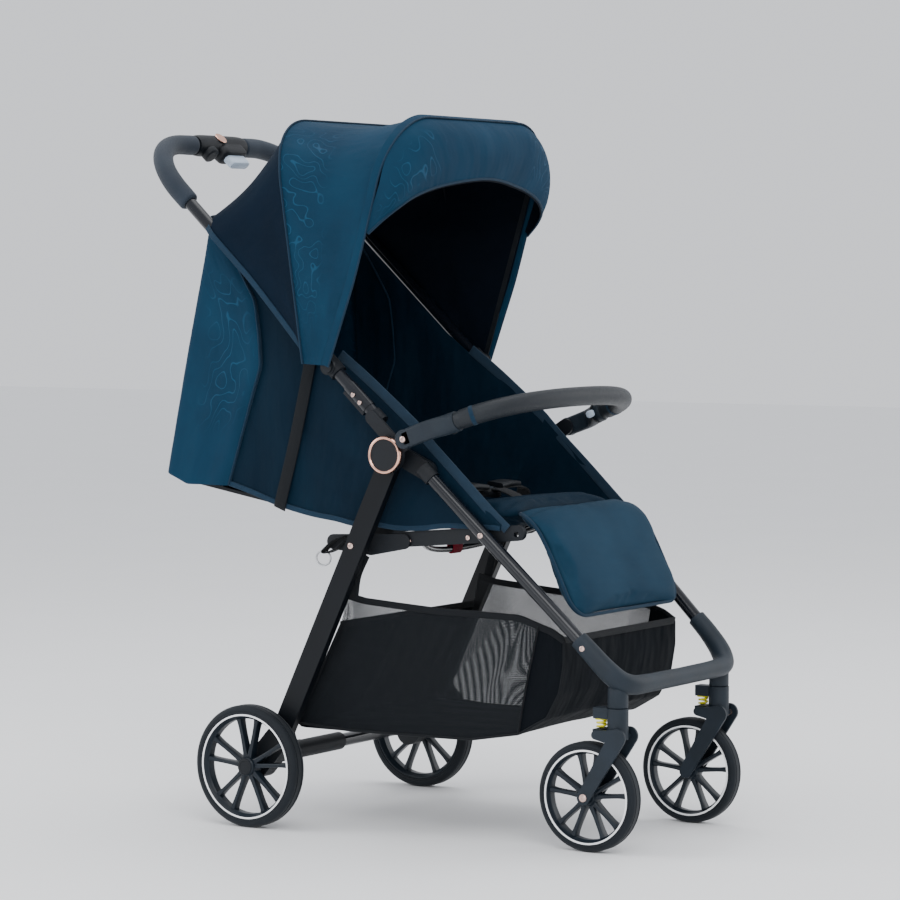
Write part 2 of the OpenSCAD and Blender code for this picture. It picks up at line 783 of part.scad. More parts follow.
front_legs();
hub_brackets();
hub_covers();
badge_rings();
front_bracket();
frame_rivets();
seat_rails();
seat_cushion();
under_seat_bar();
pull_strap();
side_panel_front();
basket();
harness_straps();
buckle();
buckle_button();
handle_tube();
handle_grips();
handle_box();
squeeze_lever();
thumb_button();
hub_plates();
latch_sliders();
hood_clamps();
hood_rear_panel();
rear_curtain();
side_panel_rear();
hood_hinge_discs();
front_bow();
hood_visor();
mid_bow();
hood_mid_panel();
backrest_pivots();
backrest_board();
backrest_pad();
shoulder_pads();
legrest_pad();
bumper_arms();
bumper_bar();
bumper_button_left();
bumper_button_right();
rear_legs();
rear_brackets();
rear_axle_tube();
brake_pedal();
side_links();
carry_loops();
rear_rim_left();
rear_tyre_left();
rear_rim_right();
rear_tyre_right();
front_rim_left();
front_tyre_left();
front_rim_right();
front_tyre_right();
caster_housing_left();
caster_housing_right();
fork_left();
fork_right();
spring_left();
spring_right();
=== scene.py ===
import math

import bpy
import numpy as np
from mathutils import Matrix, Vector


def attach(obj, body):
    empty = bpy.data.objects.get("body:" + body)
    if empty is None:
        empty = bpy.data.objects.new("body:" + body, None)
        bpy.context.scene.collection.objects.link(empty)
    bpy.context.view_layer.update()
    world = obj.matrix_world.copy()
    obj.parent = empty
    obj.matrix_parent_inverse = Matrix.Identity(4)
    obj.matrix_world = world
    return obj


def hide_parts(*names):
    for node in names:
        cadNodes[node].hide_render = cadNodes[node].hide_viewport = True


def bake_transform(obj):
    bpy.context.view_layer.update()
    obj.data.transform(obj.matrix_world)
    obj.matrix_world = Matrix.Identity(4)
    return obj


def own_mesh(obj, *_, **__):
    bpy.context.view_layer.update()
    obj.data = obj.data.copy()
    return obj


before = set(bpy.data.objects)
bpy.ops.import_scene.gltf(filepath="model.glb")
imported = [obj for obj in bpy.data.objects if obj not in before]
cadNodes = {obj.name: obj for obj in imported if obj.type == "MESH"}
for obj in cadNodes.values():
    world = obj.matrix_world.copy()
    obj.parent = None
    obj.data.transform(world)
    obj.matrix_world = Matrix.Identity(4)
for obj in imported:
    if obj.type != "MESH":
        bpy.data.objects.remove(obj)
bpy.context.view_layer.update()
scene = bpy.context.scene

# ---- camera, lights and floor ----

shot = {"azimuth": -57.726, "elevation": 3.354, "distance": 5.0, "aim": (0, -0.042, 0.525),
        "lens": 134.82, "shiftX": -0.0148, "shiftY": 0.0186}

azimuth, elevation = math.radians(shot["azimuth"]), math.radians(shot["elevation"])
backwards = Vector((math.sin(azimuth) * math.cos(elevation), -math.cos(azimuth) * math.cos(elevation),
                    math.sin(elevation)))
lensData = bpy.data.cameras.new("shotCamera")
lensData.lens, lensData.sensor_width = shot["lens"], 36
lensData.shift_x, lensData.shift_y = shot["shiftX"], shot["shiftY"]
lensData.clip_end = 60
camera = bpy.data.objects.new("shotCamera", lensData)
scene.collection.objects.link(camera)
camera.location = Vector(shot["aim"]) + backwards * shot["distance"]
camera.rotation_mode = "QUATERNION"
camera.rotation_quaternion = (-backwards).to_track_quat("-Z", "Y")
scene.camera = camera

lights = {"key": ((-2.6, -2.4, 2.9), 2.4, 72), "fill": ((2.8, -2.2, 1.6), 2.6, 34),
          "top": ((0.2, 0.3, 3.4), 2.4, 46), "rear": ((-1.8, 2.8, 1.9), 2.0, 36), "low": ((-2.6, -0.4, 0.5), 1.4, 10)}


def softLight(name, place, size, power):
    data = bpy.data.lights.new(name, "AREA")
    data.shape, data.size, data.energy = "SQUARE", size, power
    lamp = bpy.data.objects.new(name, data)
    scene.collection.objects.link(lamp)
    lamp.location = place
    lamp.rotation_mode = "QUATERNION"
    lamp.rotation_quaternion = (Vector((0, 0, 0.5)) - Vector(place)).to_track_quat("-Z", "Y")


for lightName, (place, size, power) in lights.items():
    softLight(lightName, place, size, power)

world = bpy.data.worlds.new("paleRoom")
world.use_nodes = True
world.node_tree.nodes["Background"].inputs["Color"].default_value = (0.93, 0.95, 1, 1)
world.node_tree.nodes["Background"].inputs["Strength"].default_value = 1.05
scene.world = world

# ---- shader building ----


class Wire:  # a socket that + - * / act on by adding Math nodes
    def __init__(self, finish, socket):
        self.finish, self.socket = finish, socket

    def math(self, operation, a, b):
        return self.finish.add("ShaderNodeMath", {"operation": operation}, {0: a, 1: b})

    def __add__(self, other):
        return self.math("ADD", self, other)

    def __radd__(self, other):
        return self.math("ADD", other, self)

    def __sub__(self, other):
        return self.math("SUBTRACT", self, other)

    def __rsub__(self, other):
        return self.math("SUBTRACT", other, self)

    def __mul__(self, other):
        return self.math("MULTIPLY", self, other)

    def __rmul__(self, other):
        return self.math("MULTIPLY", other, self)

    def __truediv__(self, other):
        return self.math("DIVIDE", self, other)

    def __rtruediv__(self, other):
        return self.math("DIVIDE", other, self)


class Finish:  # one material, its nodes and its surface shader
    def __init__(self, name, **surface):
        self.material = bpy.data.materials.new(name)
        self.material.use_nodes = True
        self.nodes = self.material.node_tree.nodes
        self.links = self.material.node_tree.links
        self.shader = self.nodes["Principled BSDF"]
        for key, value in surface.items():
            self.set(key, value)

    def set(self, key, value):
        name = {"colour": "Base Color", "rough": "Roughness", "metal": "Metallic", "coat": "Coat Weight",
                "coatRough": "Coat Roughness", "sheen": "Sheen Weight", "sheenRough": "Sheen Roughness",
                "sheenTint": "Sheen Tint", "specular": "Specular IOR Level", "alpha": "Alpha", "normal": "Normal",
                "through": "Subsurface Weight"}[key]
        self.feed(self.shader.inputs[name], value)

    def feed(self, socket, value):
        if isinstance(value, Wire):
            self.links.new(value.socket, socket)
        elif isinstance(value, bpy.types.NodeSocket):
            self.links.new(value, socket)
        elif hasattr(value, "__len__") and len(value) == 3 and socket.type == "RGBA":
            socket.default_value = (*value, 1)
        else:
            socket.default_value = value

    def add(self, kind, settings=None, inputs=None, output=0):
        node = self.nodes.new(kind)
        for key, value in (settings or {}).items():
            if key == "stops":
                ramp = node.color_ramp
                while len(ramp.elements) < len(value):
                    ramp.elements.new(0.5)
                for element, (place, colour) in zip(ramp.elements, value):
                    element.position, element.color = place, (*colour, 1)
            else:
                setattr(node, key, value)
        for key, value in (inputs or {}).items():
            self.feed(node.inputs[key], value)
        return Wire(self, node.outputs[output])

    def place(self, scale=(1, 1, 1), turn=(0, 0, 0)):  # object coordinates in metres, scaled and turned
        here = self.add("ShaderNodeTexCoord", output="Object")
        return self.add("ShaderNodeMapping", {}, {"Vector": here, "Scale": scale, "Rotation": turn})

    def cloth(self, scale=(1, 1, 1), turn=(0, 0, 0)):  # the piece's own cloth coordinates in metres
        here = self.add("ShaderNodeUVMap", {"uv_map": "cloth"}, output="UV")
        return self.add("ShaderNodeMapping", {}, {"Vector": here, "Scale": scale, "Rotation": turn})

    def noise(self, where, scale, detail=2.0, rough=0.5):
        return self.add("ShaderNodeTexNoise", {}, {"Vector": where, "Scale": scale, "Detail": detail,
                                                    "Roughness": rough})

    def cells(self, where, scale):
        return self.add("ShaderNodeTexVoronoi", {}, {"Vector": where, "Scale": scale}, "Distance")

    def sine(self, value):
        return self.add("ShaderNodeMath", {"operation": "SINE"}, {0: value})

    def clear(self, value, low, high):  # 0 below low, 1 above high
        return self.add("ShaderNodeMapRange", {}, {"Value": value, "From Min": low, "From Max": high})

    def blend(self, factor, a, b):  # from colour a to colour b
        node = self.nodes.new("ShaderNodeMix")
        node.data_type = "RGBA"
        self.feed(node.inputs[0], factor)
        self.feed(node.inputs[6], a)
        self.feed(node.inputs[7], b)
        return Wire(self, node.outputs[2])

    def split(self, where):
        node = self.nodes.new("ShaderNodeSeparateXYZ")
        self.feed(node.inputs[0], where)
        return [Wire(self, node.outputs[i]) for i in range(3)]

    def bump(self, height, depth, before=None):
        inputs = {"Height": height, "Distance": depth, "Strength": 1.0}
        if before is not None:
            inputs["Normal"] = before
        return self.add("ShaderNodeBump", {}, inputs)


def shade(colour, factor):
    return tuple(min(1, c * factor) for c in colour)


# Powder coat or lacquer: fine orange peel, faint dust and slow changes of gloss
def paintFinish(name, colour, rough, coat=0.4, metal=0.0):
    f = Finish(name, metal=metal, coatRough=0.12, specular=0.22)
    where = f.place()
    slow = f.noise(where, 14, 3)
    peel = f.noise(where, 900, 2)
    f.set("colour", f.blend(f.clear(slow, 0.35, 0.75), colour, shade(colour, 1.35)))
    f.set("rough", rough + 0.1 * slow)
    f.set("coat", coat * (0.7 + 0.5 * slow))
    f.set("normal", f.bump(peel, 0.00005))
    return f.material


# Moulded plastic: a fine leathery grain over slow colour change, paler where it is rubbed
def plasticFinish(name, colour, rough, grain=1.0, pale=1.5):
    f = Finish(name, specular=0.28)
    where = f.place()
    slow = f.noise(where, 22, 3)
    pits = f.cells(where, 1500)
    fine = f.noise(where, 2600, 2)
    f.set("colour", f.blend(f.clear(slow, 0.4, 0.8), colour, shade(colour, pale)))
    f.set("rough", rough + 0.12 * fine + 0.08 * slow)
    f.set("normal", f.bump(pits + 0.5 * fine, 0.00012 * grain))
    return f.material


# Plated or bare metal with fine turning marks
def metalFinish(name, colour, rough):
    f = Finish(name, metal=1.0)
    where = f.place()
    slow = f.noise(where, 40, 2)
    marks = f.noise(f.place((1, 40, 40)), 60, 2)
    f.set("colour", f.blend(slow, colour, shade(colour, 0.82)))
    f.set("rough", rough + 0.12 * marks)
    f.set("normal", f.bump(marks, 0.00002))
    return f.material


# Closed-cell foam or tyre rubber: small pits and a dry sheen
def rubberFinish(name, colour, rough, scale=1300, depth=0.00022):
    f = Finish(name, sheen=0.08, sheenRough=0.5, specular=0.2)
    where = f.place()
    pits = f.cells(where, scale)
    slow = f.noise(where, 18, 3)
    f.set("colour", f.blend(f.clear(slow, 0.35, 0.7), colour, shade(colour, 1.4)))
    f.set("rough", rough + 0.1 * slow)
    f.set("normal", f.bump(pits, depth))
    return f.material


# Woven cloth on cloth coordinates: crossing threads, slubs, soft creases and, where the motif attribute
# is above nothing, thin embossed contour lines like leaf veins
def wovenFinish(name, colour, light, crease=1.0, motif=0.0, thread=0.0011, sheen=0.10):
    f = Finish(name, sheen=sheen, sheenRough=0.45, sheenTint=light, specular=0.08)
    flat = f.cloth()
    across, along, _ = f.split(flat)
    beat = 2 * math.pi / thread
    weave = f.sine(across * beat) * f.sine(along * beat)
    slub = f.noise(f.cloth((40, 900, 1)), 1, 2)
    cloud = f.noise(flat, 9, 4)
    soft = f.noise(f.cloth((9, 26, 1), (0, 0, 0.5)), 1, 2, 0.45)
    mottled = f.clear(cloud, 0.3, 0.72)
    tone = f.blend(mottled * 0.75 + slub * 0.25, shade(colour, 0.82), shade(light, 1.0))
    rough = 0.62 + 0.16 * slub
    height = weave * 0.00005
    if motif:
        where = f.add("ShaderNodeAttribute", {"attribute_name": "motif"}, output="Fac")
        vein = f.sine(f.noise(f.cloth((1, 1.6, 1), (0, 0, 0.7)), 15, 1.0) * 60)
        line = f.clear(vein, 0.88, 0.99) * where
        tone = f.blend(line * motif, tone, shade(light, 1.9))
        rough = rough - 0.18 * line
        height = height + line * 0.00025
    f.set("colour", tone)
    f.set("rough", rough)
    f.set("normal", f.bump(height, 1.0, f.bump(soft, 0.006 * crease)))
    return f.material


# Padded cloth without cloth coordinates: the weave runs along X and down the slope
def padFinish(name, colour, light, crease=1.0, slope=(0.5, 0.87)):
    f = Finish(name, sheen=0.10, sheenRough=0.45, sheenTint=light, specular=0.08)
    where = f.place()
    x, y, z = f.split(where)
    beat = 2 * math.pi / 0.0011
    weave = f.sine(x * beat) * f.sine((y * slope[0] + z * slope[1]) * beat)
    cloud = f.noise(where, 11, 4)
    soft = f.noise(f.place((7, 16, 22)), 1, 2)
    slub = f.noise(f.place((60, 700, 700)), 1, 2)
    f.set("colour", f.blend(f.clear(cloud, 0.3, 0.72) * 0.7 + slub * 0.3, shade(colour, 0.85), light))
    f.set("rough", 0.6 + 0.16 * slub)
    f.set("normal", f.bump(weave * 0.00005, 1.0, f.bump(soft, 0.005 * crease)))
    return f.material


# Net: round holes on a staggered grid, see-through where the hole is
def netFinish(name, colour, pitch=0.0024, open_=0.10):
    f = Finish(name, specular=0.25, colour=colour, rough=0.7)
    across, along, _ = f.split(f.cloth())
    beat = 2 * math.pi / pitch
    hole = f.sine(across * beat) * f.sine(along * beat)
    solid = 1 - f.clear(hole * hole, open_, open_ + 0.12)
    f.set("alpha", solid)
    f.set("normal", f.bump(hole, 0.0002))
    f.material.surface_render_method = "DITHERED"
    return f.material


# Webbing: ribs across the strap, their depth varying in a wave across its width
def webbingFinish(name, colour, rib=0.0016):
    f = Finish(name, sheen=0.06, specular=0.14)
    across, along, _ = f.split(f.cloth())
    ribs = f.sine(along * (2 * math.pi / rib)) * (0.6 + 0.4 * f.sine(across * (2 * math.pi / rib)))
    cloud = f.noise(f.cloth(), 60, 3)
    f.set("colour", f.blend(cloud, shade(colour, 0.8), shade(colour, 1.5)))
    f.set("rough", 0.65 + 0.15 * cloud)
    f.set("normal", f.bump(ribs, 0.00025))
    return f.material


# Synthetic leather: cells of different sizes, glossier on the high spots
def leatherFinish(name, colour, light):
    f = Finish(name, coatRough=0.3, specular=0.3)
    where = f.place()
    cells = f.cells(where, 700)
    small = f.cells(where, 1700)
    slow = f.noise(where, 12, 3)
    f.set("colour", f.blend(f.clear(slow, 0.3, 0.75), colour, light))
    f.set("rough", 0.34 + 0.25 * cells + 0.08 * slow)
    f.set("coat", 0.12 * (1 - cells))
    f.set("normal", f.bump(cells + 0.5 * small, 0.00028))
    return f.material


finishes = {
    "frameBlack": paintFinish("frameBlack", (0.0025, 0.0038, 0.0067), 0.2, 0.45),
    "legBlack": paintFinish("legBlack", (0.0008, 0.0018, 0.0034), 0.4, 0.03),
    "bracketBlue": plasticFinish("bracketBlue", (0.0076, 0.0134, 0.0202), 0.42),
    "plasticDark": plasticFinish("plasticDark", (0.0031, 0.0047, 0.0072), 0.42),
    "roseGold": metalFinish("roseGold", (0.86, 0.49, 0.37), 0.12),
    "rivetSteel": metalFinish("rivetSteel", (0.72, 0.52, 0.46), 0.2),
    "steel": metalFinish("steel", (0.55, 0.56, 0.58), 0.22),
    "foamGrip": rubberFinish("foamGrip", (0.0144, 0.0216, 0.0324), 0.62),
    "leverGrey": plasticFinish("leverGrey", (0.42, 0.50, 0.60), 0.34, 0.5, 1.15),
    "hoodCloth": wovenFinish("hoodCloth", (0.0045, 0.0259, 0.0545), (0.0080, 0.0393, 0.0759), 1.0, 0.5),
    "hoodPlain": wovenFinish("hoodPlain", (0.0009, 0.0062, 0.0161), (0.0015, 0.0093, 0.0217), 0.8),
    # lining cloth: its very dark colour is painted shade for the inside of the hood
    "liningPaintedShade": wovenFinish("liningPaintedShade", (0.0006, 0.003, 0.0078), (0.0009, 0.0042, 0.0102), 0.6, sheen=0.1),
    "sideCloth": wovenFinish("sideCloth", (0.0010, 0.0088, 0.0198), (0.0021, 0.0140, 0.0281), 1.3),
    "seatCloth": padFinish("seatCloth", (0.0018, 0.0115, 0.0245), (0.0032, 0.0166, 0.0324)),
    "legCloth": padFinish("legCloth", (0.0064, 0.0284, 0.0541), (0.0110, 0.0404, 0.0711), 1.2),
    "pipingCloth": webbingFinish("pipingCloth", (0.0036, 0.0204, 0.042), 0.0012),
    "netCloth": netFinish("netCloth", (0.004, 0.0064, 0.0096)),
    "basketCloth": wovenFinish("basketCloth", (0.0017, 0.0031, 0.0051), (0.0027, 0.0046, 0.0072), 1.6),
    "webbing": webbingFinish("webbing", (0.0036, 0.0048, 0.0066)),
    "greyTape": webbingFinish("greyTape", (0.0098, 0.0245, 0.0434)),
    "strapRed": webbingFinish("strapRed", (0.20, 0.004, 0.018)),
    "leather": leatherFinish("leather", (0.0045, 0.0072, 0.0108), (0.0077, 0.0113, 0.0158)),
    "rimPlastic": plasticFinish("rimPlastic", (0.006, 0.0102, 0.0156), 0.26, 0.4),
    "tyreRubber": rubberFinish("tyreRubber", (0.0056, 0.0080, 0.0112), 0.6, 900, 0.00015),
    "whiteLine": paintFinish("whiteLine", (0.82, 0.84, 0.86), 0.3, 0.4),
    "springYellow": paintFinish("springYellow", (0.72, 0.66, 0.01), 0.35),
    "thread": webbingFinish("thread", (0.05, 0.075, 0.10), 0.0008),
}
print("materials made:", len(finishes))

# ---- shape building ----


# Quads of a grid whose point (row, column) is number row * columns + column
def gridFaces(rows, columns, ringRows=False, ringColumns=False):
    i, j = np.meshgrid(np.arange(rows if ringRows else rows - 1),
                       np.arange(columns if ringColumns else columns - 1), indexing="ij")
    right, down = (j + 1) % columns, (i + 1) % rows
    quads = np.stack([i * columns + j, i * columns + right, down * columns + right, down * columns + j], -1)
    return quads.reshape(-1, 4)


# Six times the volume that the faces enclose, positive when they point outwards
def signedVolume(points, faces):
    total = 0.0
    for size in (3, 4):
        chosen = np.array([f for f in faces if len(f) == size], int).reshape(-1, size)
        for k in range(1, size - 1):
            a, b, c = points[chosen[:, 0]], points[chosen[:, k]], points[chosen[:, k + 1]]
            total += float(np.sum(a * np.cross(b, c)))
    return total


pieces = {}


def putPiece(name, points, faces, finish, body, coords=None, hides=(), sharp=35, motif=None):
    points = np.asarray(points, float).reshape(-1, 3)
    faces = [list(map(int, f)) for f in faces]
    if signedVolume(points, faces) < 0:
        faces = [f[::-1] for f in faces]
    mesh = bpy.data.meshes.new(name)
    mesh.from_pydata(points.tolist(), [], faces)
    if coords is not None:
        layer = mesh.uv_layers.new(name="cloth")
        order = np.zeros(len(mesh.loops), int)
        mesh.loops.foreach_get("vertex_index", order)
        layer.data.foreach_set("uv", np.asarray(coords, float).reshape(-1, 2)[order].astype(np.float32).ravel())
    if motif is not None:
        mark = mesh.attributes.new("motif", "FLOAT", "POINT")
        mark.data.foreach_set("value", np.asarray(motif, np.float32).ravel())
    mesh.polygons.foreach_set("use_smooth", np.ones(len(mesh.polygons), bool))
    mesh.set_sharp_from_angle(angle=math.radians(sharp))
    mesh.materials.append(finishes[finish])
    piece = bpy.data.objects.new(name, mesh)
    scene.collection.objects.link(piece)
    if body:
        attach(piece, body)
    if hides:
        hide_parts(*hides)
    pieces[name] = piece
    return piece


# Unit length rows
def unit(v):
    return v / np.maximum(np.linalg.norm(v, axis=-1, keepdims=True), 1e-12)


# Smooth curve through points: Catmull-Rom pieces, then even spacing by length
def smoothPath(points, count):
    p = np.asarray(points, float)
    p = np.vstack([2 * p[0] - p[1], p, 2 * p[-1] - p[-2]])
    t = np.linspace(0, 1, 24, endpoint=False)[:, None, None]
    a, b, c, d = p[:-3], p[1:-2], p[2:-1], p[3:]
    curve = 0.5 * (2 * b + (c - a) * t + (2 * a - 5 * b + 4 * c - d) * t ** 2 + (3 * b - a - 3 * c + d) * t ** 3)
    curve = np.vstack([curve.transpose(1, 0, 2).reshape(-1, p.shape[1]), p[-2:-1]])
    return evenPath(curve, count)


# The same line with its points spread evenly along its length
def evenPath(points, count):
    p = np.asarray(points, float)
    run = np.concatenate([[0], np.cumsum(np.linalg.norm(np.diff(p, axis=0), axis=1))])
    place = np.linspace(0, run[-1], count)
    return np.stack([np.interp(place, run, p[:, k]) for k in range(p.shape[1])], 1)


def runLength(points):
    return np.concatenate([[0], np.cumsum(np.linalg.norm(np.diff(points, axis=0), axis=1))])


# A closed profile carried along a path: point = path + side * px + up * py, with flat ends
def sweep(path, profile, up=(0, 0, 1), scale=None, ring=False):
    path, profile = np.asarray(path, float), np.asarray(profile, float)
    ahead = unit(np.roll(path, -1, 0) - np.roll(path, 1, 0) if ring else np.gradient(path, axis=0))
    up = np.broadcast_to(np.asarray(up, float), path.shape)
    side = unit(np.cross(ahead, up))
    over = np.cross(side, ahead)
    scale = np.ones((len(path), 2)) if scale is None else np.asarray(scale, float)
    points = (path[:, None] + side[:, None] * (profile[None, :, 0] * scale[:, :1])[..., None]
              + over[:, None] * (profile[None, :, 1] * scale[:, 1:])[..., None])
    m = len(profile)
    faces = [list(q) for q in gridFaces(len(path), m, ring, True)]
    if not ring:
        faces += [list(range(m))[::-1], list(range(m * (len(path) - 1), m * len(path)))]
    around = runLength(np.vstack([profile, profile[:1]]))[:m]
    coords = np.stack(np.broadcast_arrays(around[None, :], runLength(path)[:, None]), -1)
    return points.reshape(-1, 3), faces, coords.reshape(-1, 2)


def sweepPiece(name, path, profile, finish, body, up=(0, 0, 1), scale=None, ring=False, hides=(), sharp=35):
    points, faces, coords = sweep(path, profile, up, scale, ring)
    # an end face has more than four corners, so the ends are cut into fans before the volume is summed
    fans = []
    for f in faces:
        fans += [f] if len(f) <= 4 else [[f[0], f[k], f[k + 1]] for k in range(1, len(f) - 1)]
    return putPiece(name, points, fans, finish, body, coords, hides, sharp)


def circleProfile(radius, count=24, flat=1.0):
    a = np.linspace(0, 2 * np.pi, count, endpoint=False)
    return np.stack([radius * np.cos(a), radius * flat * np.sin(a)], 1)


# A rectangle with round corners, as a closed loop
def boxProfile(width, height, corner, steps=4):
    a = np.linspace(0, np.pi / 2, steps + 1)
    loop = []
    for k, (sx, sy) in enumerate([(1, 1), (-1, 1), (-1, -1), (1, -1)]):
        angle = a + k * np.pi / 2
        loop.append(np.stack([sx * (width / 2 - corner) + corner * np.cos(angle),
                              sy * (height / 2 - corner) + corner * np.sin(angle)], 1))
    return np.vstack(loop)


# A closed profile of (radius, distance) turned about a line along X through a centre
def spin(profile, centre, side=1, steps=96):
    profile = np.asarray(profile, float)
    a = np.linspace(0, 2 * np.pi, steps, endpoint=False)[:, None]
    x = np.broadcast_to(centre[0] + side * profile[None, :, 1], (steps, len(profile)))
    points = np.stack([x, centre[1] + profile[None, :, 0] * np.cos(a), centre[2] + profile[None, :, 0] * np.sin(a)], -1)
    return points.reshape(-1, 3), [list(q) for q in gridFaces(steps, len(profile), True, True)]


def spinPiece(name, profile, centre, side, finish, body, hides=(), steps=96, sharp=30):
    points, faces = spin(profile, centre, side, steps)
    return putPiece(name, points, faces, finish, body, None, hides, sharp)


# Several point and face sets as one
def joined(parts):
    points, faces, coords, start = [], [], [], 0
    for part in parts:
        p = np.asarray(part[0], float).reshape(-1, 3)
        points.append(p)
        faces += [[k + start for k in f] for f in part[1]]
        coords.append(np.zeros((len(p), 2)) if len(part) < 3 else part[2])
        start += len(p)
    return np.vstack(points), faces, np.vstack(coords)


# Cloth from a grid of points: a second wall one thickness behind the first, closed round the border.
# Cloth coordinates are the run along the middle row and the middle column
def clothShell(grid, thick, face=1):
    rows, columns = grid.shape[:2]
    normal = unit(np.cross(np.gradient(grid, axis=0), np.gradient(grid, axis=1))) * face
    both = np.concatenate([grid.reshape(-1, 3), (grid - normal * thick).reshape(-1, 3)])
    n = rows * columns
    front = gridFaces(rows, columns)
    border = np.concatenate([np.arange(columns), np.arange(1, rows) * columns + columns - 1,
                             (rows - 1) * columns + np.arange(columns - 2, -1, -1),
                             np.arange(rows - 2, 0, -1) * columns])
    after = np.roll(border, -1)
    rim = np.stack([border, border + n, after + n, after], 1)
    faces = [list(q) for q in np.concatenate([front, front[:, ::-1] + n, rim])]
    u, v = runLength(grid[:, columns // 2]), runLength(grid[rows // 2])
    coords = np.stack(np.meshgrid(u, v, indexing="ij"), -1).reshape(-1, 2)
    return both, faces, np.concatenate([coords, coords])


def gridArea(grid):
    a = grid[1:, 1:] - grid[:-1, :-1]
    b = grid[1:, :-1] - grid[:-1, 1:]
    return float(np.linalg.norm(np.cross(a, b), axis=-1).sum() / 2)


# A cloth sheet from a grid of points, made as a shell of the given thickness; the grid's area is worked out but not
# used
def clothPiece(name, grid, finish, body, thick=0.0016, face=1, hides=(), motif=None):
    grid = np.asarray(grid, float)
    points, faces, coords = clothShell(grid, thick, face)
    doubled = None if motif is None else np.concatenate([motif.ravel(), motif.ravel()])
    piece = putPiece(name, points, faces, finish, body, coords, hides, 60, doubled)
    area = gridArea(grid)
    return piece


# Smooth random field on a grid: a few crossing waves with seeded directions
def softField(u, v, seed, waves=5, low=1.0, high=4.0):
    draw = np.random.default_rng(seed)
    total = np.zeros(np.broadcast(u, v).shape)
    for _ in range(waves):
        a, b, c = draw.uniform(low, high), draw.uniform(-high, high), draw.uniform(0, 6.28)
        total = total + np.sin(2 * np.pi * (a * u + b * v) / 2 + c) / waves
    return total


# A small round head: a dome on a short rim, closed by its own profile
def rivet(name, place, radius, finish, body, side, hides=(), proud=0.0022):
    r = radius
    profile = [(0.0001, 0), (r, 0), (r, 0.4 * proud), (0.92 * r, 0.7 * proud), (0.65 * r, 0.95 * proud),
               (0.3 * r, proud), (0.3 * r, 0.75 * proud), (0.0001, 0.75 * proud)]
    return spinPiece(name, profile, place, side, finish, body, hides, 32, 25)


sides = {"left": -1, "right": 1}
print("tools ready")

# ---- hood ----

hood = {"hinge": (0.055, 0.677), "halfWidth": 0.2200, "reach": 0.376, "bend": 0.097, "frontAngle": 107,
        "midAngle": 74.5, "rearAngle": 43.0, "rearReach": 0.318, "rearHalf": 0.2145, "sag": 0.013, "columns": 121}


# The U outline of a bow: up a straight side, round a quarter circle, and over the top. t runs from -1 at the
# left foot to 1 at the right foot; the answer is the distance across and the reach from the hinge
def bowOutline(t, half, reach, bend, low):
    leg, arc, flat = reach - bend - low, bend * np.pi / 2, half - bend
    run = (1 - np.abs(t)) * (leg + arc + flat)
    turn = np.clip((run - leg) / bend, 0, np.pi / 2)
    x = np.where(run < leg + arc, half - bend + bend * np.cos(turn), half - bend - (run - leg - arc))
    r = np.where(run < leg, low + run, reach - bend + bend * np.sin(turn))
    return np.where(t < 0, -1, 1) * np.where(run < leg, half, x), r


def onHinge(x, r, degrees):
    a = np.radians(degrees)
    return np.stack([x + 0 * r, hood["hinge"][0] + r * np.cos(a), hood["hinge"][1] + r * np.sin(a)], -1)


t = np.linspace(-1, 1, hood["columns"])
crown = np.sin(np.pi / 2 * (1 - np.abs(t) ** 1.6))  # 0 at the feet, 1 over the middle


# The seam over the front bow, a little further forward down the sides
def frontSeam(grow=0.0, low=0.002):
    x, r = bowOutline(t, hood["halfWidth"] + grow, hood["reach"] + grow, hood["bend"] + grow, low)
    return onHinge(x, r, hood["frontAngle"] + 3 * np.clip((1 - crown) * 2, 0, 1))


# The seam over the middle bow, which runs out behind the hinge at its feet
def midSeam(grow=0.0, low=0.004):
    x, r = bowOutline(t, hood["halfWidth"] + grow, hood["reach"] - 0.004 + grow, hood["bend"] + grow, low)
    seam = onHinge(x, r, hood["midAngle"])
    seam[:, 1] += 0.038 * np.clip(1 - r / 0.3, 0, 1)
    return seam


def rearEdge(low=0.045):
    x, r = bowOutline(t, hood["rearHalf"], hood["rearReach"], 0.045, low)
    edge = onHinge(x, r, hood["rearAngle"])
    drop = np.clip(1 - crown * 1.6, 0, 1) * 0.010
    edge[:, 1] += drop * math.sin(math.radians(43))
    edge[:, 2] -= drop * math.cos(math.radians(43))
    return edge


# Cloth stretched from one seam to another: straight across, sagging down in the middle, with light creases
def hoodGrid(a, b, rows, sag, seed, crease=0.0022):
    v = np.linspace(0, 1, rows)[:, None]
    grid = a[None] * (1 - v[..., None]) + b[None] * v[..., None]
    dip = np.sin(np.pi * v)
    centre = np.array([0, hood["hinge"][0], hood["hinge"][1]])
    inward = unit(centre - grid)
    inward[..., 0] *= crown[None, :] ** 4  # the straight sides stay outside the bows
    field = softField(t[None, :] * 2.2, v * 0.8, seed, 6, 0.6, 3.2)
    pull = dip * (sag * crown[None, :] + 0.001 * (1 - crown[None,
                                                            :])) + crease * field * np.sqrt(dip) * (0.15 + 0.85 * crown)
    return grid + inward * pull[..., None]


def motifOn(rows, columns, uLow, uHigh, vLow, vHigh, soft=0.12):
    v, u = np.meshgrid(np.linspace(0, 1, rows), np.linspace(-1, 1, columns), indexing="ij")
    edge = lambda x, a, b: np.clip((x - a) / soft, 0, 1) * np.clip((b - x) / soft, 0, 1)
    return edge(np.abs(u), uLow, uHigh) * edge(v, vLow, vHigh)


frontLine, midLine, rearLine = frontSeam(), midSeam(), rearEdge()
midGrid = hoodGrid(midLine, frontLine, 25, hood["sag"], 3)
clothPiece("hoodMidCloth", midGrid, "hoodCloth", None,
           motif=motifOn(25, len(t), 0.28, 0.92, -0.2, 0.5), hides=["hood_mid_panel"])
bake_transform(pieces["hoodMidCloth"])
rearGrid = hoodGrid(rearLine, midLine, 21, 0.008, 8, 0.0018)
clothPiece("hoodRearCloth", rearGrid, "hoodPlain", "upper_frame",
           hides=["hood_rear_panel"])

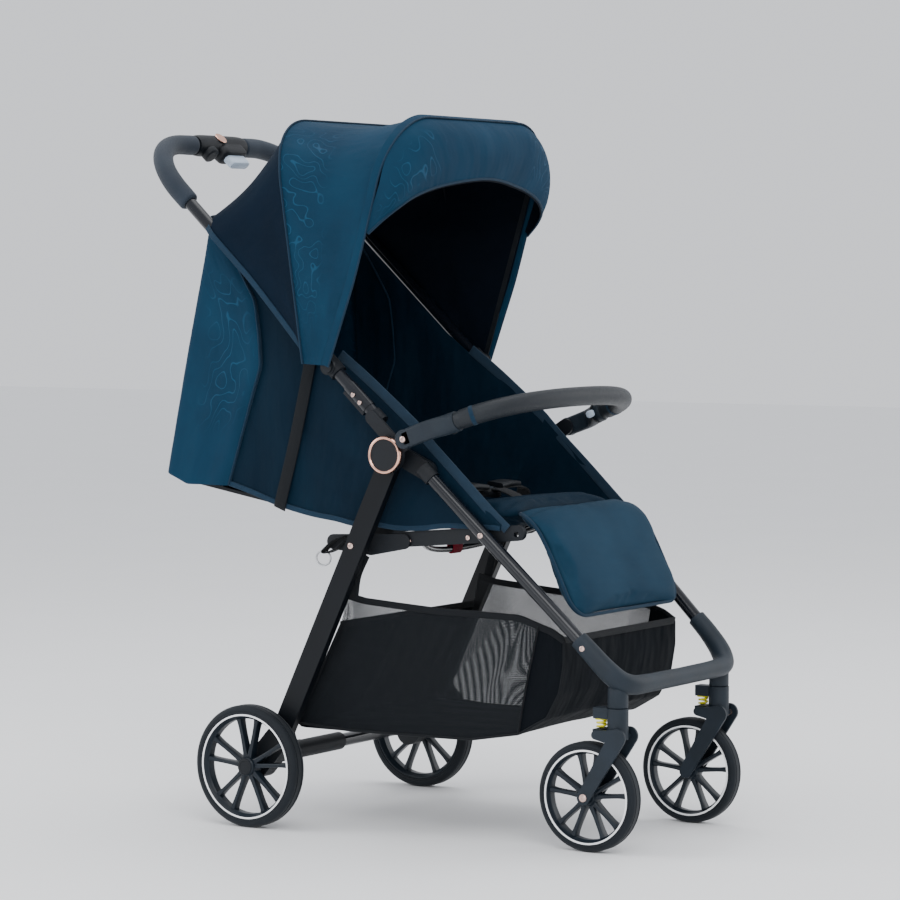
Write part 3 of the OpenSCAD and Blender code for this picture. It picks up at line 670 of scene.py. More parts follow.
# Peak: it leaves the seam in line with the hood, rounds over and comes down to a lower edge
visor = {"low": 0.206, "bulge": 0.044, "rows": 19, "columns": 97}
tv = np.linspace(-1, 1, visor["columns"])
crownVisor = np.sin(np.pi / 2 * (1 - np.abs(tv) ** 1.7))
xv, rv = bowOutline(tv, hood["halfWidth"] + 0.0012, hood["reach"] + 0.0012, hood["bend"], visor["low"])
ahead = np.array([0, math.cos(math.radians(197)), math.sin(math.radians(197))])
up = np.array([0, math.cos(math.radians(107)), math.sin(math.radians(107))])
seamTilt = hood["frontAngle"] + 3 * np.clip((1 - crownVisor) * 2, 0, 1)
top = onHinge(xv, rv, seamTilt)
halfEdge = np.array([(-0.2195, -0.020, 0.868), (-0.2140, -0.041, 0.887), (-0.1990, -0.058, 0.905),
                     (-0.1650, -0.069, 0.924), (-0.1000, -0.077, 0.940)])
edgePoints = np.vstack([halfEdge, [[0, -0.086, 0.950]], halfEdge[::-1] * [-1, 1, 1]])
bottom = smoothPath(edgePoints, visor["columns"])  # the brim: a low arch that falls away quickly at the sides
middle = top * 0.62 + bottom * 0.38 + ahead * (visor["bulge"] * crownVisor)[:, None] \
    + up * (0.022 * crownVisor)[:, None] + np.array([1, 0, 0]) * (np.sign(xv) * 0.004 * crownVisor)[:, None]
v = np.linspace(0, 1, visor["rows"])[:, None, None]
visorGrid = top * (1 - v) ** 2 + 2 * middle * v * (1 - v) + bottom * v ** 2
ripple = softField(tv[None, :] * 2.0, v[..., 0] * 1.0, 21, 6, 0.5, 2.6)
visorGrid = visorGrid + ahead * (0.0016 * ripple * np.sin(np.pi * v[..., 0]) * crownVisor)[..., None]
clothPiece("hoodPeak", visorGrid, "hoodCloth", "front_bow",
           motif=motifOn(visor["rows"], visor["columns"], 0.35, 0.95, 0.2, 0.9), hides=["hood_visor"])

# Linings just inside the outer cloth, their colour darkened as painted shade, so that the inside of the hood reads as a
# shaded second layer
for name, grid, body in (("hoodMidLining", midGrid, None), ("hoodRearLining", rearGrid, "upper_frame"),
                         ("hoodPeakLining", visorGrid, "front_bow")):
    centre = np.array([0, hood["hinge"][0], hood["hinge"][1]])
    inner = grid + unit(centre - grid) * 0.0045
    clothPiece(name, inner[:, 1:-1], "liningPaintedShade", body, thick=0.0008)
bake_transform(pieces["hoodMidLining"])


# A rounded band of cloth laid along a line, lifted off the surface away from the hinge
def seamBand(name, line, width, thick, finish, body, lift=0.0008, shift=0.0):
    line = evenPath(line, 150)
    centre = np.array([0, hood["hinge"][0], hood["hinge"][1]])
    outward = line - centre
    ahead = unit(np.gradient(line, axis=0))
    outward = unit(outward - (outward * ahead).sum(-1, keepdims=True) * ahead)
    side = np.cross(ahead, outward)
    return sweepPiece(name, line + outward * lift + side * shift, boxProfile(width, thick, thick * 0.45), finish, body,
                      up=outward)


seamBand("frontBowCasing", frontSeam(0.0006), 0.013, 0.0028, "hoodCloth", "front_bow", 0.0006, 0.0)
seamBand("frontBowPiping", frontSeam(0.0006), 0.0026, 0.0026, "pipingCloth", "front_bow", 0.0014, 0.0068)
seamBand("midBowPiping", midSeam(0.0006), 0.0030, 0.0028, "pipingCloth", "mid_bow", 0.0008)
seamBand("peakHem", visorGrid[-1], 0.0034, 0.0040, "pipingCloth", "front_bow", 0.0)
seamBand("rearHem", rearLine, 0.0090, 0.0022, "pipingCloth", "upper_frame", 0.0010)
print("hood made")

# ---- rear curtain and side cloths ----

curtain = {"halfWidth": 0.1835, "rows": 41, "columns": 141, "corner": 0.012}
curtainTop, curtainBottom = 0.868, 0.520
vCurtain = np.linspace(0, 1, curtain["rows"])
rearRun = np.interp(vCurtain, [0, 1], [0.294, 0.371])
creaseRun = np.interp(vCurtain, [0, 0.10, 0.26, 0.40, 0.52, 0.66, 1], [0.268, 0.243, 0.206, 0.199, 0.196, 0.214, 0.256])
rowHeight = np.interp(vCurtain, [0, 1], [curtainTop, curtainBottom])


# One row of the curtain seen from above: along the left side, round a corner, across the back, and forward again
def curtainRow(k):
    r, back, crease, half = curtain["corner"], rearRun[k], creaseRun[k], curtain["halfWidth"]
    a = np.linspace(0, np.pi / 2, 9)
    left = np.stack([-half + r - r * np.cos(a), back - r + r * np.sin(a)], 1)
    line = np.vstack([[[-half + 0.004, crease]], [[-half, crease + 0.012]], left, left[::-1] * [-1, 1],
                      [[half, crease + 0.012]], [[half - 0.004, crease]]])
    return evenPath(line, curtain["columns"])


flat = np.stack([curtainRow(k) for k in range(curtain["rows"])])
curtainGrid = np.concatenate([flat, np.broadcast_to(rowHeight[:, None, None], (*flat.shape[:2], 1))], -1)
uCurtain = np.linspace(-1, 1, curtain["columns"])
sideShare = np.clip((np.abs(uCurtain) - 0.55) / 0.2, 0, 1)[None, :]
curtainGrid[..., 2] -= 0.023 * sideShare * vCurtain[:, None]  # the side ends lower at the crease
folds = softField(uCurtain[None, :] * 3.4, vCurtain[:, None] * 0.35, 31, 7, 0.8, 4.0)
outward = np.stack([np.sign(uCurtain)[None, :] * sideShare + 0 * vCurtain[:, None],
                    (1 - sideShare) + 0 * vCurtain[:, None], 0 * sideShare + 0 * vCurtain[:, None]], -1)
curtainGrid = curtainGrid + outward * (0.0042 * folds * (0.25 + vCurtain[:, None]) * 0.8)[..., None]
clothPiece("curtainCloth", curtainGrid, "hoodCloth", "upper_frame",
           motif=motifOn(curtain["rows"], curtain["columns"], 0.68, 0.99, 0.12, 0.8), hides=["rear_curtain"])


# Cloth between an upper and a lower line of (y, z) points at one side, each spread evenly, with an outward field
def sideGrid(upper, lower, x, columns, rows, seed, swell=0.0, crease=0.003, slant=1.0):
    a, b = evenPath(np.asarray(upper, float), columns), evenPath(np.asarray(lower, float), columns)
    v, u = np.linspace(0, 1, rows)[:, None], np.linspace(0, 1, columns)[None, :]
    grid = a[None] * (1 - v[..., None]) + b[None] * v[..., None]
    bell = np.sin(np.pi * v)
    field = softField(u * 2.6 - v * slant, v * 1.1, seed, 7, 0.5, 2.8)
    x = x + swell * bell * np.sin(np.pi * u) + crease * field * np.sqrt(bell) * (0.3 + 0.7 * np.sin(np.pi * u))
    return x, grid


sideUpper = [(-0.076, 0.590), (-0.066, 0.600), (-0.020, 0.636), (0.030, 0.672), (0.062, 0.690), (0.100, 0.719),
             (0.200, 0.812), (0.278, 0.884)]
sideLower = [(-0.002, 0.447), (0.030, 0.446), (0.065, 0.452), (0.110, 0.458), (0.165, 0.470), (0.215, 0.486),
             (0.262, 0.499)]
frontUpper = [(-0.076, 0.590), (-0.101, 0.566), (-0.150, 0.520), (-0.207, 0.467), (-0.218, 0.457)]
frontLower = [(-0.002, 0.447), (-0.040, 0.443), (-0.082, 0.444), (-0.124, 0.449), (-0.180, 0.450), (-0.216, 0.449)]


def asCloth(x, grid, sign):
    return np.stack([sign * x, grid[..., 0], grid[..., 1]], -1)


for word, sign in sides.items():
    x, grid = sideGrid(sideUpper, sideLower, 0.1790, 81, 41, 41, 0.003, 0.0050)
    clothPiece(f"sideClothRear.{word}", asCloth(x, grid, sign), "sideCloth", "upper_frame",
               face=sign)
    x, grid = sideGrid(frontUpper, frontLower, 0.1772, 51, 31, 47, 0.0012, 0.0018)
    clothPiece(f"sideClothFront.{word}", asCloth(x, grid, sign), "sideCloth", "frame",
               face=sign)
    # the crease where the curtain's edge is stitched down: a rolled hem
    hem = curtainGrid[:, 0 if sign < 0 else -1]
    sweepPiece(f"curtainHem.{word}", evenPath(hem, 60), boxProfile(0.0024, 0.009, 0.0011), "pipingCloth", "upper_frame",
               up=(sign, 0.0, 0.0))
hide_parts("side_panel_rear")
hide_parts("side_panel_front")


# A flat strap along a path of points, wide across the given direction
def strap(name, path, width, thick, across, finish, body, hides=(), count=60, smooth=True):
    line = smoothPath(path, count) if smooth else evenPath(path, count)
    return sweepPiece(name, line, boxProfile(thick, width, thick * 0.45, 3), finish, body,
                      up=np.broadcast_to(np.asarray(across, float), line.shape), hides=hides)


for word, sign in sides.items():
    strap(f"greyTapeRear.{word}", [(sign * 0.1785, 0.056, 0.694), (sign * 0.1785, 0.0, 0.653), (sign * 0.1785,
            -0.066, 0.600),
                                   (sign * 0.1785, -0.082, 0.585)], 0.015, 0.0026, (0, 0.66, -0.75), "greyTape",
          "upper_frame")
    strap(f"greyTapeFront.{word}", [(sign * 0.1785, -0.082, 0.585), (sign * 0.1785, -0.101, 0.566), (sign * 0.1785,
            -0.150, 0.521),
                                    (sign * 0.1775, -0.200, 0.474), (sign * 0.1755, -0.226, 0.451)], 0.015, 0.0026,
          (0, 0.66, -0.75), "greyTape", "frame")
    strap(f"sideHemRear.{word}", [(sign * 0.1800, y, z + 0.003) for y, z in sideLower], 0.008, 0.0028, (0, 0.1, 1),
          "pipingCloth", "upper_frame")
    strap(f"sideHemFront.{word}", [(sign * 0.1778, y, z + 0.003) for y, z in frontLower], 0.008, 0.0028, (0, 0.1, 1),
          "pipingCloth", "frame")
    strap(f"reclineWebbing.{word}", [(sign * 0.1845, 0.104, 0.690), (sign * 0.1850, 0.118, 0.628), (sign * 0.1850,
            0.138, 0.548),
                                     (sign * 0.1845, 0.158, 0.480), (sign * 0.1815, 0.163, 0.466)], 0.020, 0.0018,
          (0, 1, 0.22), "webbing", "upper_frame")
for name in ("curtainCloth", "sideClothRear.left", "sideClothRear.right", "curtainHem.left", "curtainHem.right",
             "sideHemRear.left", "sideHemRear.right", "reclineWebbing.left", "reclineWebbing.right"):
    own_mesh(pieces[name])
print("curtain and side cloths made")

# ---- cushions ----


# Cloth pressure on a closed shape: the shape is remeshed, swells for twenty frames, and no point moves further
# than the cap. The modifier is applied, so nothing live is left
def swell(piece, voxel, pressure, cap, frames=18):
    remesh = piece.modifiers.new("even", "REMESH")
    remesh.mode, remesh.voxel_size = "VOXEL", voxel
    applyAll(piece)
    start = pointsOf(piece.data)
    cloth = piece.modifiers.new("cloth", "CLOTH")
    cloth.settings.use_pressure, cloth.settings.uniform_pressure_force = True, pressure
    cloth.settings.effector_weights.gravity = 0
    cloth.settings.tension_stiffness = cloth.settings.compression_stiffness = 20
    cloth.point_cache.frame_end = frames + 2
    for k in range(1, frames + 1):
        scene.frame_set(k)
    applyAll(piece)
    scene.frame_set(1)
    moved = pointsOf(piece.data)
    step = moved - start
    far = np.linalg.norm(step, axis=1, keepdims=True)
    setPoints(piece.data, start + step * np.minimum(1, cap / np.maximum(far, 1e-9)))


def applyAll(piece):
    evaluated = piece.evaluated_get(bpy.context.evaluated_depsgraph_get())
    fresh = bpy.data.meshes.new_from_object(evaluated)
    piece.modifiers.clear()
    old, piece.data = piece.data, fresh
    bpy.data.meshes.remove(old)


def pointsOf(mesh):
    p = np.zeros(len(mesh.vertices) * 3, np.float32)
    mesh.vertices.foreach_get("co", p)
    return p.reshape(-1, 3).astype(float)


def setPoints(mesh, points):
    mesh.vertices.foreach_set("co", points.astype(np.float32).ravel())
    mesh.update()


# A crowned pad in its own axes: a round-cornered outline, full in the middle and thin at the rim. The top and
# bottom are at +-depth * (1 - s^n) over the outline's share s
def padShape(width, length, depth, corner, rings=26, around=120, fullness=3.2, rim=0.3):
    loop = evenPath(np.vstack([boxProfile(width, length, corner, 10), boxProfile(width, length, corner, 10)[:1]]),
                    around + 1)[:-1]
    s = np.linspace(0, 1, rings)[1:]
    height = depth / 2 * (rim + (1 - rim) * (1 - s ** fullness) ** 0.75)
    top = [np.column_stack([loop * k, np.full(around, h)]) for k, h in zip(s, height)]
    lower = [p * [1, 1, -1] for p in top[::-1]]
    points = np.vstack([[[0, 0, depth / 2]], *top, *lower, [[0, 0, -depth / 2]]])
    grid = gridFaces(2 * (rings - 1), around, False, True) + 1
    last = len(points) - 1
    k = np.arange(around)
    capTop = [[0, int(a) + 1, int(b) + 1] for a, b in zip(k, (k + 1) % around)]
    capLow = [[last, last - around + int(b), last - around + int(a)] for a, b in zip(k, (k + 1) % around)]
    return points, [list(q) for q in grid] + capTop + capLow


# From pad axes to the model: turned about X by the slope, then moved to its centre
def placed(points, degrees, centre):
    a = math.radians(degrees)
    p = np.asarray(points, float)
    y, z = p[..., 1] * math.cos(a) - p[..., 2] * math.sin(a), p[..., 1] * math.sin(a) + p[..., 2] * math.cos(a)
    return np.stack([p[..., 0], y, z], -1) + np.asarray(centre)


def padPiece(name, size, corner, degrees, centre, finish, body, hides, cap, seams=(), fullness=3.2,
             pressure=4):
    width, length, depth = size
    points, faces = padShape(width, length, depth, corner, fullness=fullness)
    piece = putPiece(name, placed(points, degrees, centre), faces, finish, None, hides=hides, sharp=80)
    swell(piece, 0.005, pressure, cap)
    own = placed(pointsOf(piece.data) - centre, -degrees, (0, 0, 0))
    face = np.clip(own[:, 2] / (depth / 2), -1, 1)
    dent = np.zeros(len(own))
    for axis, where, deep, wide in seams:  # a sewn channel: a soft valley across or along the pad
        dent += deep * np.exp(-((own[:, axis] - where) / wide) ** 2)
    field = softField(own[:, 0] / width, own[:, 1] / length, len(name), 7, 0.7, 3.2)
    own[:, 2] -= np.sign(face) * dent * np.minimum(1, np.abs(face) * 1.5)
    own[:, 2] += 0.0012 * field * np.sign(face)
    setPoints(piece.data, placed(own, degrees, centre))
    finer = piece.modifiers.new("finer", "SUBSURF")
    finer.levels = finer.render_levels = 1
    applyAll(piece)
    piece.data.materials.clear()
    piece.data.materials.append(finishes[finish])
    piece.data.polygons.foreach_set("use_smooth", np.ones(len(piece.data.polygons), bool))
    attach(piece, body)
    return piece


seat = {"slope": -6, "centre": (0, -0.151, 0.4645), "size": (0.300, 0.134, 0.028)}
padPiece("seatPad", seat["size"], 0.030, seat["slope"], seat["centre"], "seatCloth", "frame",
         ["seat_cushion"], 0.008, seams=[(1, -0.046, 0.003, 0.005)])
# The leg rest bends over the front of the seat: the pad's length follows a line in the plane of symmetry
legrest = {"line": [(-0.216, 0.4665), (-0.238, 0.4650), (-0.258, 0.4500), (-0.278, 0.4180), (-0.300, 0.3740),
                    (-0.3235, 0.3240)],
           "width": 0.308, "depth": 0.030, "corner": 0.030, "seam": (-0.240, 0.462)}
restLine = smoothPath([(0, *q) for q in legrest["line"]], 200)
restRun = runLength(restLine)
restAhead = unit(np.gradient(restLine, axis=0))
restOut = np.cross([1, 0, 0], restAhead)
restOut *= np.sign(restOut[:, 2:3])


def onRest(points):  # across, along the line and outwards
    p = np.asarray(points, float)
    k = np.clip(p[:, 1], 0, restRun[-1])
    at = lambda table, i: np.interp(k, restRun, table[:, i])
    extra = p[:, 1] - k
    return np.column_stack([p[:, 0]] + [at(restLine, i) + at(restOut, i) * p[:, 2] + at(restAhead,
            i) * extra for i in (1, 2)])


points, faces = padShape(legrest["width"], restRun[-1], legrest["depth"], legrest["corner"], rings=30, fullness=3.6)
piece = putPiece("legrestPad", onRest(points + [0, restRun[-1] / 2, 0]), faces, "legCloth", None,
                 hides=["legrest_pad"], sharp=80)
swell(piece, 0.005, 4, 0.008)
soft = pointsOf(piece.data)
away = soft[:, 1:] - np.array([restLine[0, 1] - 0.004, restLine[0, 2] - 0.06])
field = softField(soft[:, 0] * 3.4, soft[:, 2] * 4.0, 17, 7, 0.7, 3.2)
valley = 0.0032 * np.exp(-(((soft[:, 1] - legrest["seam"][0]) + (soft[:, 2] - legrest["seam"][1]) * 0.2) / 0.005) ** 2)
outer = (away / np.linalg.norm(away, axis=1, keepdims=True))
soft[:, 1:] += outer * (0.0014 * field - valley * (soft[:, 2] > 0.45))[:, None]
setPoints(piece.data, soft)
finer = piece.modifiers.new("finer", "SUBSURF")
finer.levels = finer.render_levels = 1
applyAll(piece)
piece.data.materials.clear()
piece.data.materials.append(finishes["legCloth"])
piece.data.polygons.foreach_set("use_smooth", np.ones(len(piece.data.polygons), bool))
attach(piece, "legrest")
loop = boxProfile(legrest["width"] - 0.002, restRun[-1] - 0.009, legrest["corner"] + 0.002, 12)
loop = evenPath(np.vstack([loop, loop[:1]]), 161)[:-1]
rim = onRest(np.column_stack([loop[:, 0], loop[:, 1] + restRun[-1] / 2, np.full(len(loop), 0.0035)]))
sweepPiece("legrestPiping", rim, circleProfile(0.0027, 10), "pipingCloth", "legrest", up=(0, -0.85,
        0.5), ring=True)
back = {"slope": 10, "pivot": (0, -0.040, 0.428)}


def onBack(x, run, height):  # a place on the backrest: across, up the back and above its board
    return placed([[x, run, height]], back["slope"], back["pivot"])[0]


padPiece("backPad", (0.282, 0.340, 0.024), 0.030, back["slope"], onBack(0, 0.214, 0.0185), "seatCloth", "backrest",
         ["backrest_pad"], 0.006, seams=[(1, -0.07, 0.002, 0.004), (1, 0.06, 0.002, 0.004)])
print("cushions made")

# ---- harness ----

for word, sign in sides.items():
    line = [onBack(sign * 0.040, 0.300, 0.036), onBack(sign * 0.038, 0.230, 0.040), onBack(sign * 0.036, 0.120, 0.042),
            onBack(sign * 0.030, 0.040, 0.048), (sign * 0.016, -0.072, 0.494)]
    strap(f"shoulderStrap.{word}", line, 0.024, 0.0018, (1, 0, 0), "webbing", "backrest")
    pad = [onBack(sign * 0.039, 0.205, 0.041), onBack(sign * 0.0375, 0.150, 0.045), onBack(sign * 0.036, 0.090, 0.046)]
    line = smoothPath(pad, 40)
    ends = 1 - 0.35 * np.abs(np.linspace(-1, 1, 40)) ** 6
    cover = sweepPiece(f"shoulderPad.{word}", line, boxProfile(0.012, 0.042, 0.0055, 5), "seatCloth", "backrest",
                       up=(1, 0, 0), scale=np.stack([ends, ends], 1), sharp=70)
    strap(f"waistStrap.{word}", [(sign * 0.132, -0.066, 0.470), (sign * 0.108, -0.080, 0.489), (sign * 0.070,
            -0.088, 0.497),
                                 (sign * 0.030, -0.086, 0.4975)], 0.024, 0.0018, (0, 0.95,
                                         0.3), "webbing", "frame")
    wing = smoothPath([(sign * 0.074, -0.088, 0.4985), (sign * 0.048, -0.0875, 0.5005), (sign * 0.020, -0.085,
            0.4985)], 24)
    sweepPiece(f"buckleWing.{word}", wing, boxProfile(0.008, 0.026, 0.0035, 4), "plasticDark", "frame",
               up=(0, 1, 0.1), scale=np.stack([np.ones(24), np.linspace(0.75, 1.15, 24)], 1))
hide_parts("shoulder_pads")
strap("crotchStrap", [(0, -0.150, 0.476), (0, -0.132, 0.486), (0, -0.112, 0.493), (0, -0.100, 0.494)], 0.030, 0.0020,
      (1, 0, 0), "webbing", "frame", hides=["harness_straps"])


# A round boss about a slanted line: profile (radius, height) turned and then placed
def bossPiece(name, profile, degrees, centre, finish, body, hides=(), steps=64, squeeze=1.0):
    profile = np.asarray(profile, float)
    a = np.linspace(0, 2 * np.pi, steps, endpoint=False)[:, None]
    points = np.stack([profile[None, :, 0] * np.cos(a), profile[None, :, 0] * np.sin(a) * squeeze,
                       profile[None, :, 1] + 0 * a], -1).reshape(-1, 3)
    faces = [list(q) for q in gridFaces(steps, len(profile), True, True)]
    return putPiece(name, placed(points, degrees, centre), faces, finish, body, None, hides, sharp=32)


bossPiece("buckleBody", [(0.0095, 0.001), (0.0095, 0.0062), (0.011, 0.0068), (0.0185, 0.0058), (0.0208, 0.003),
                         (0.0210, -0.003), (0.0195, -0.006), (0.0001, -0.006), (0.0001, 0.001)], 8, (0, -0.084, 0.490),
          "plasticDark", "frame", ["buckle"])
bossPiece("buckleButton", [(0.0001, 0.0078), (0.004, 0.0072), (0.0075, 0.0078), (0.0086, 0.0070), (0.0087, 0.0020),
                           (0.0001, 0.0020)], 8, (0, -0.084, 0.490), "bracketBlue", "buckle_button",
          ["buckle_button"])
print("harness made")

# ---- basket ----

basketParts = {"rearHalf": 0.1875, "frontHalf": 0.1600, "rearY": 0.150, "frontY": -0.330}
beltLine = np.array([(0.054, 0.300), (0.086, 0.236), (0.128, 0.153), (0.121, 0.1475), (-0.050, 0.1465), (-0.162,
        0.1470),
                     (-0.240, 0.160), (-0.284, 0.185), (-0.304, 0.222), (-0.311, 0.262), (-0.311, 0.297)])
rimLine = np.array([(0.044, 0.344), (0.012, 0.337), (-0.040, 0.333), (-0.110, 0.328), (-0.170, 0.327), (-0.240, 0.325),
                    (-0.292, 0.308), (-0.3105, 0.297)])
sideLow = np.array([(0.054, 0.300), (0.086, 0.236), (0.127, 0.152), (0.040, 0.1465), (-0.060, 0.1465), (-0.162, 0.1470),
                    (-0.240, 0.160), (-0.284, 0.185), (-0.304, 0.222), (-0.311, 0.262), (-0.311, 0.296)])


def basketHalf(y):
    b = basketParts
    return b["frontHalf"] + (y - b["frontY"]) / (b["rearY"] - b["frontY"]) * (b["rearHalf"] - b["frontHalf"])


belt = evenPath(beltLine, 91)
acrossBelt = np.linspace(-1, 1, 61)[None, :]
halfBelt = basketHalf(belt[:, 0])[:, None]
sagBelt = (1 - acrossBelt ** 2)
beltRun = np.linspace(0, 1, len(belt))[:, None]
wave = softField(acrossBelt * 1.5, beltRun * 3.0, 61, 6, 0.6, 3.0)
centreBelt = np.array([-0.10, 0.25])
inwardBelt = unit(centreBelt - belt)[:, None, :]
pullBelt = (0.004 * sagBelt + 0.0018 * wave * sagBelt)[..., None]
beltYz = belt[:, None, :] + inwardBelt * pullBelt
beltGrid = np.stack([np.broadcast_to(acrossBelt * halfBelt, beltYz.shape[:2]), beltYz[..., 0], beltYz[..., 1]], -1)
clothPiece("basketBelt", beltGrid, "basketCloth", "frame",
           hides=["basket"])

# A line resampled in two runs, with the point at a share of its length at number cut
def twoRuns(line, share, cut, count):
    fine = evenPath(line, 600)
    k = int(share * 599)
    return np.vstack([evenPath(fine[:k + 1], cut), evenPath(fine[k:], count - cut + 1)[1:]])


cut = 91  # where net gives way to solid cloth
for word, sign in sides.items():
    upper, lower = twoRuns(rimLine, 0.88, cut, 121), twoRuns(sideLow, 0.76, cut, 121)
    v = np.linspace(0, 1, 41)[:, None]
    yz = upper[None] * (1 - v[..., None]) + lower[None] * v[..., None]
    u = np.linspace(0, 1, 121)[None, :]
    bell = np.sin(np.pi * v) ** 0.8
    wave = softField(u * 3.4, v * 1.3, 71, 7, 0.6, 3.0)
    x = basketHalf(yz[..., 0]) - 0.0006 + bell * np.sin(np.pi * u) * 0.004 + 0.0016 * wave * bell
    grid = np.stack([sign * x, yz[..., 0], yz[..., 1]], -1)
    clothPiece(f"basketNet.{word}", grid[:, :cut], "netCloth", "frame",
               thick=0.0008, face=-sign)
    clothPiece(f"basketSolid.{word}", grid[:, cut - 1:], "basketCloth", "frame",
               face=-sign)
    rimPath = np.column_stack([sign * (basketHalf(upper[:, 0])), upper])
    strap(f"basketRim.{word}", rimPath, 0.010, 0.0030, (0, 0, 1), "webbing", "frame", smooth=False,
          count=90)
    lowPath = np.column_stack([sign * (basketHalf(lower[:, 0]) + 0.0002), lower])
    sweepPiece(f"basketSeam.{word}", evenPath(lowPath, 120), circleProfile(0.0018, 8), "webbing", "frame",
               up=(sign, 0, 0.001))
    joint = grid[:, cut - 1]
    sweepPiece(f"basketJoin.{word}", evenPath(joint, 40) + np.array([sign * 0.0008, 0, 0]), boxProfile(0.0016,
            0.006, 0.0007),
               "webbing", "frame", up=(sign, 0, 0.001))
frontRim = np.column_stack([np.linspace(-1, 1, 60) * basketHalf(-0.311), np.full(60, -0.311), np.full(60, 0.297)])
strap("basketRimFront", frontRim, 0.010, 0.0030, (0, 0, 1), "webbing", "frame", smooth=False, count=60)
rearRim = np.column_stack([np.linspace(-1, 1, 60) * basketHalf(0.054), np.full(60, 0.054), np.full(60, 0.301)])
strap("basketRimRear", rearRim, 0.010, 0.0030, (0, 0, 1), "webbing", "frame", smooth=False, count=60)
for word, sign in sides.items():  # straps that hang the basket from the frame
    strap(f"basketHanger.{word}", [(sign * 0.183, 0.030, 0.340), (sign * 0.186, 0.022, 0.375), (sign * 0.188, 0.006,
            0.405)],
          0.014, 0.0016, (0, 1, 0.3), "webbing", "frame")
print("basket made")

# ---- wheels ----

wheels = {"rear": {"centre": (0.232, 0.182, 0.090), "radius": 0.090, "width": 0.028, "bore": 0.0052},
          "front": {"centre": (0.150, -0.347, 0.078), "radius": 0.078, "width": 0.026, "bore": 0.0042}}


def tyreProfile(radius, width):
    inner, half, groove = radius * 0.86 + 0.0001, width / 2, 0.0013
    a = np.linspace(0, np.pi / 2, 7)
    shoulder = np.column_stack([radius - 0.007 + 0.007 * np.sin(a), half - 0.007 + 0.007 * np.cos(a)])
    tread = []
    for centre in (0.0052, -0.0052):
        tread += [(radius, centre + 0.0011), (radius - groove, centre + 0.0007), (radius - groove, centre - 0.0007),
                  (radius, centre - 0.0011)]
    side = [(inner, -half + 0.001), (inner, half - 0.001), (inner + 0.0006, half), (inner + 0.003, half),
            (inner + 0.0034, half - 0.0006), (inner + 0.0040, half)]
    mirror = [(r, -h) for r, h in side[::-1][:4]]
    return np.vstack([side, shoulder, tread, shoulder[::-1] * [1, -1], mirror])


def rimProfile(radius, width):
    h = width / 2
    outer, lip, barrel = radius * 0.86, radius * 0.835, radius * 0.775
    half = [(outer, h - 0.0012), (outer - 0.0008, h - 0.0004), (lip, h - 0.0004), (lip - 0.0012, h - 0.0014),
            (barrel + 0.0022, h - 0.0060), (barrel + 0.0004, h - 0.0080), (barrel, 0.0)]
    other = [(r, -x) for r, x in half[::-1][1:]]
    return np.array(half + other)


# A thin deep spoke from the hub to the rim: a rounded blade, wider at both ends
def spoke(centre, side, angle, inner, outer):
    run = np.linspace(0, 1, 14)
    reach = inner + (outer - inner) * run
    ahead = np.array([0, math.cos(angle), math.sin(angle)])
    path = np.asarray(centre)[None, :] + ahead * reach[:, None]
    wide = 1 + 0.55 * (2 * run - 1) ** 4 + 0.25 * (1 - run)
    deep = 1 - 0.18 * np.sin(np.pi * run) + 0.10 * (1 - run)
    return sweep(path, boxProfile(0.0052, 0.0150, 0.0016, 3), up=(1, 0, 0), scale=np.stack([wide, deep], 1))


def cutFans(faces):
    fans = []
    for f in faces:
        fans += [f] if len(f) <= 4 else [[f[0], f[k], f[k + 1]] for k in range(1, len(f) - 1)]
    return fans


for end, w in wheels.items():
    for word, sign in sides.items():
        body = f"{end}_wheel_{word}"
        centre = (sign * w["centre"][0], w["centre"][1], w["centre"][2])
        radius, width, bore = w["radius"], w["width"], w["bore"]
        h = width / 2
        spinPiece(f"{end}Tyre.{word}", tyreProfile(radius, width), centre, sign, "tyreRubber", body,
                  [f"{end}_tyre_{word}"], 144, 24)
        ringRim = spin(rimProfile(radius, width), centre, sign, 128)
        hub = spin([(bore, -h + 0.001), (0.0125, -h + 0.001), (0.0140, -h + 0.003), (0.0150, -0.002), (0.0150, 0.002),
                    (0.0140, h - 0.003), (0.0125, h - 0.001), (bore, h - 0.001)], centre, sign, 64)
        blades = [spoke(centre, sign, math.radians(90 + 72 * k + s * 13), 0.011, radius * 0.782)
                  for k in range(5) for s in (-1, 1)]
        shape = joined([ringRim, hub] + [(p, cutFans(f)) for p, f, _ in blades])
        putPiece(f"{end}Rim.{word}", shape[0], shape[1], "rimPlastic", body, None,
                 [f"{end}_rim_{word}"], sharp=30)
        for face in ((1, -1) if end == "front" else (1,)):  # painted line near the edge of the rim
            r, x = radius * 0.846, face * (h - 0.00045)
            spinPiece(f"{end}Line.{word}.{'outer' if face > 0 else 'inner'}",
                      [(r - 0.0015, x - face * 0.0005), (r - 0.0015, x + face * 0.0003), (r + 0.0010,
                              x + face * 0.0003),
                       (r + 0.0010, x - face * 0.0005)], centre, sign, "whiteLine", body, (), 128)
        cap = [(0.0001, h - 0.0034), (0.0118, h - 0.0034), (0.0124, h - 0.0012), (0.0118, h + 0.0002), (0.0086,
                h + 0.0010),
               (0.0080, h + 0.0004), (0.0001, h + 0.0006)]
        if end == "rear":
            spinPiece(f"{end}Cap.{word}", cap, centre, sign, "plasticDark", body, (), 48, 25)
print("wheels made")

# ---- bumper ----

bumper = {"pivot": (-0.089, 0.577), "rise": 160, "x": 0.205, "reach": 0.166, "bend": 2.35, "start": 0.0785}


def onBumper(x, run, height=0.0):  # across, along the bar's plane and above it
    a = math.radians(bumper["rise"])
    p = np.broadcast_arrays(np.asarray(x, float), np.asarray(run, float), np.asarray(height, float))
    return np.stack([p[0], bumper["pivot"][0] + p[1] * math.cos(a) + p[2] * math.sin(a),
                     bumper["pivot"][1] + p[1] * math.sin(a) - p[2] * math.cos(a)], -1)


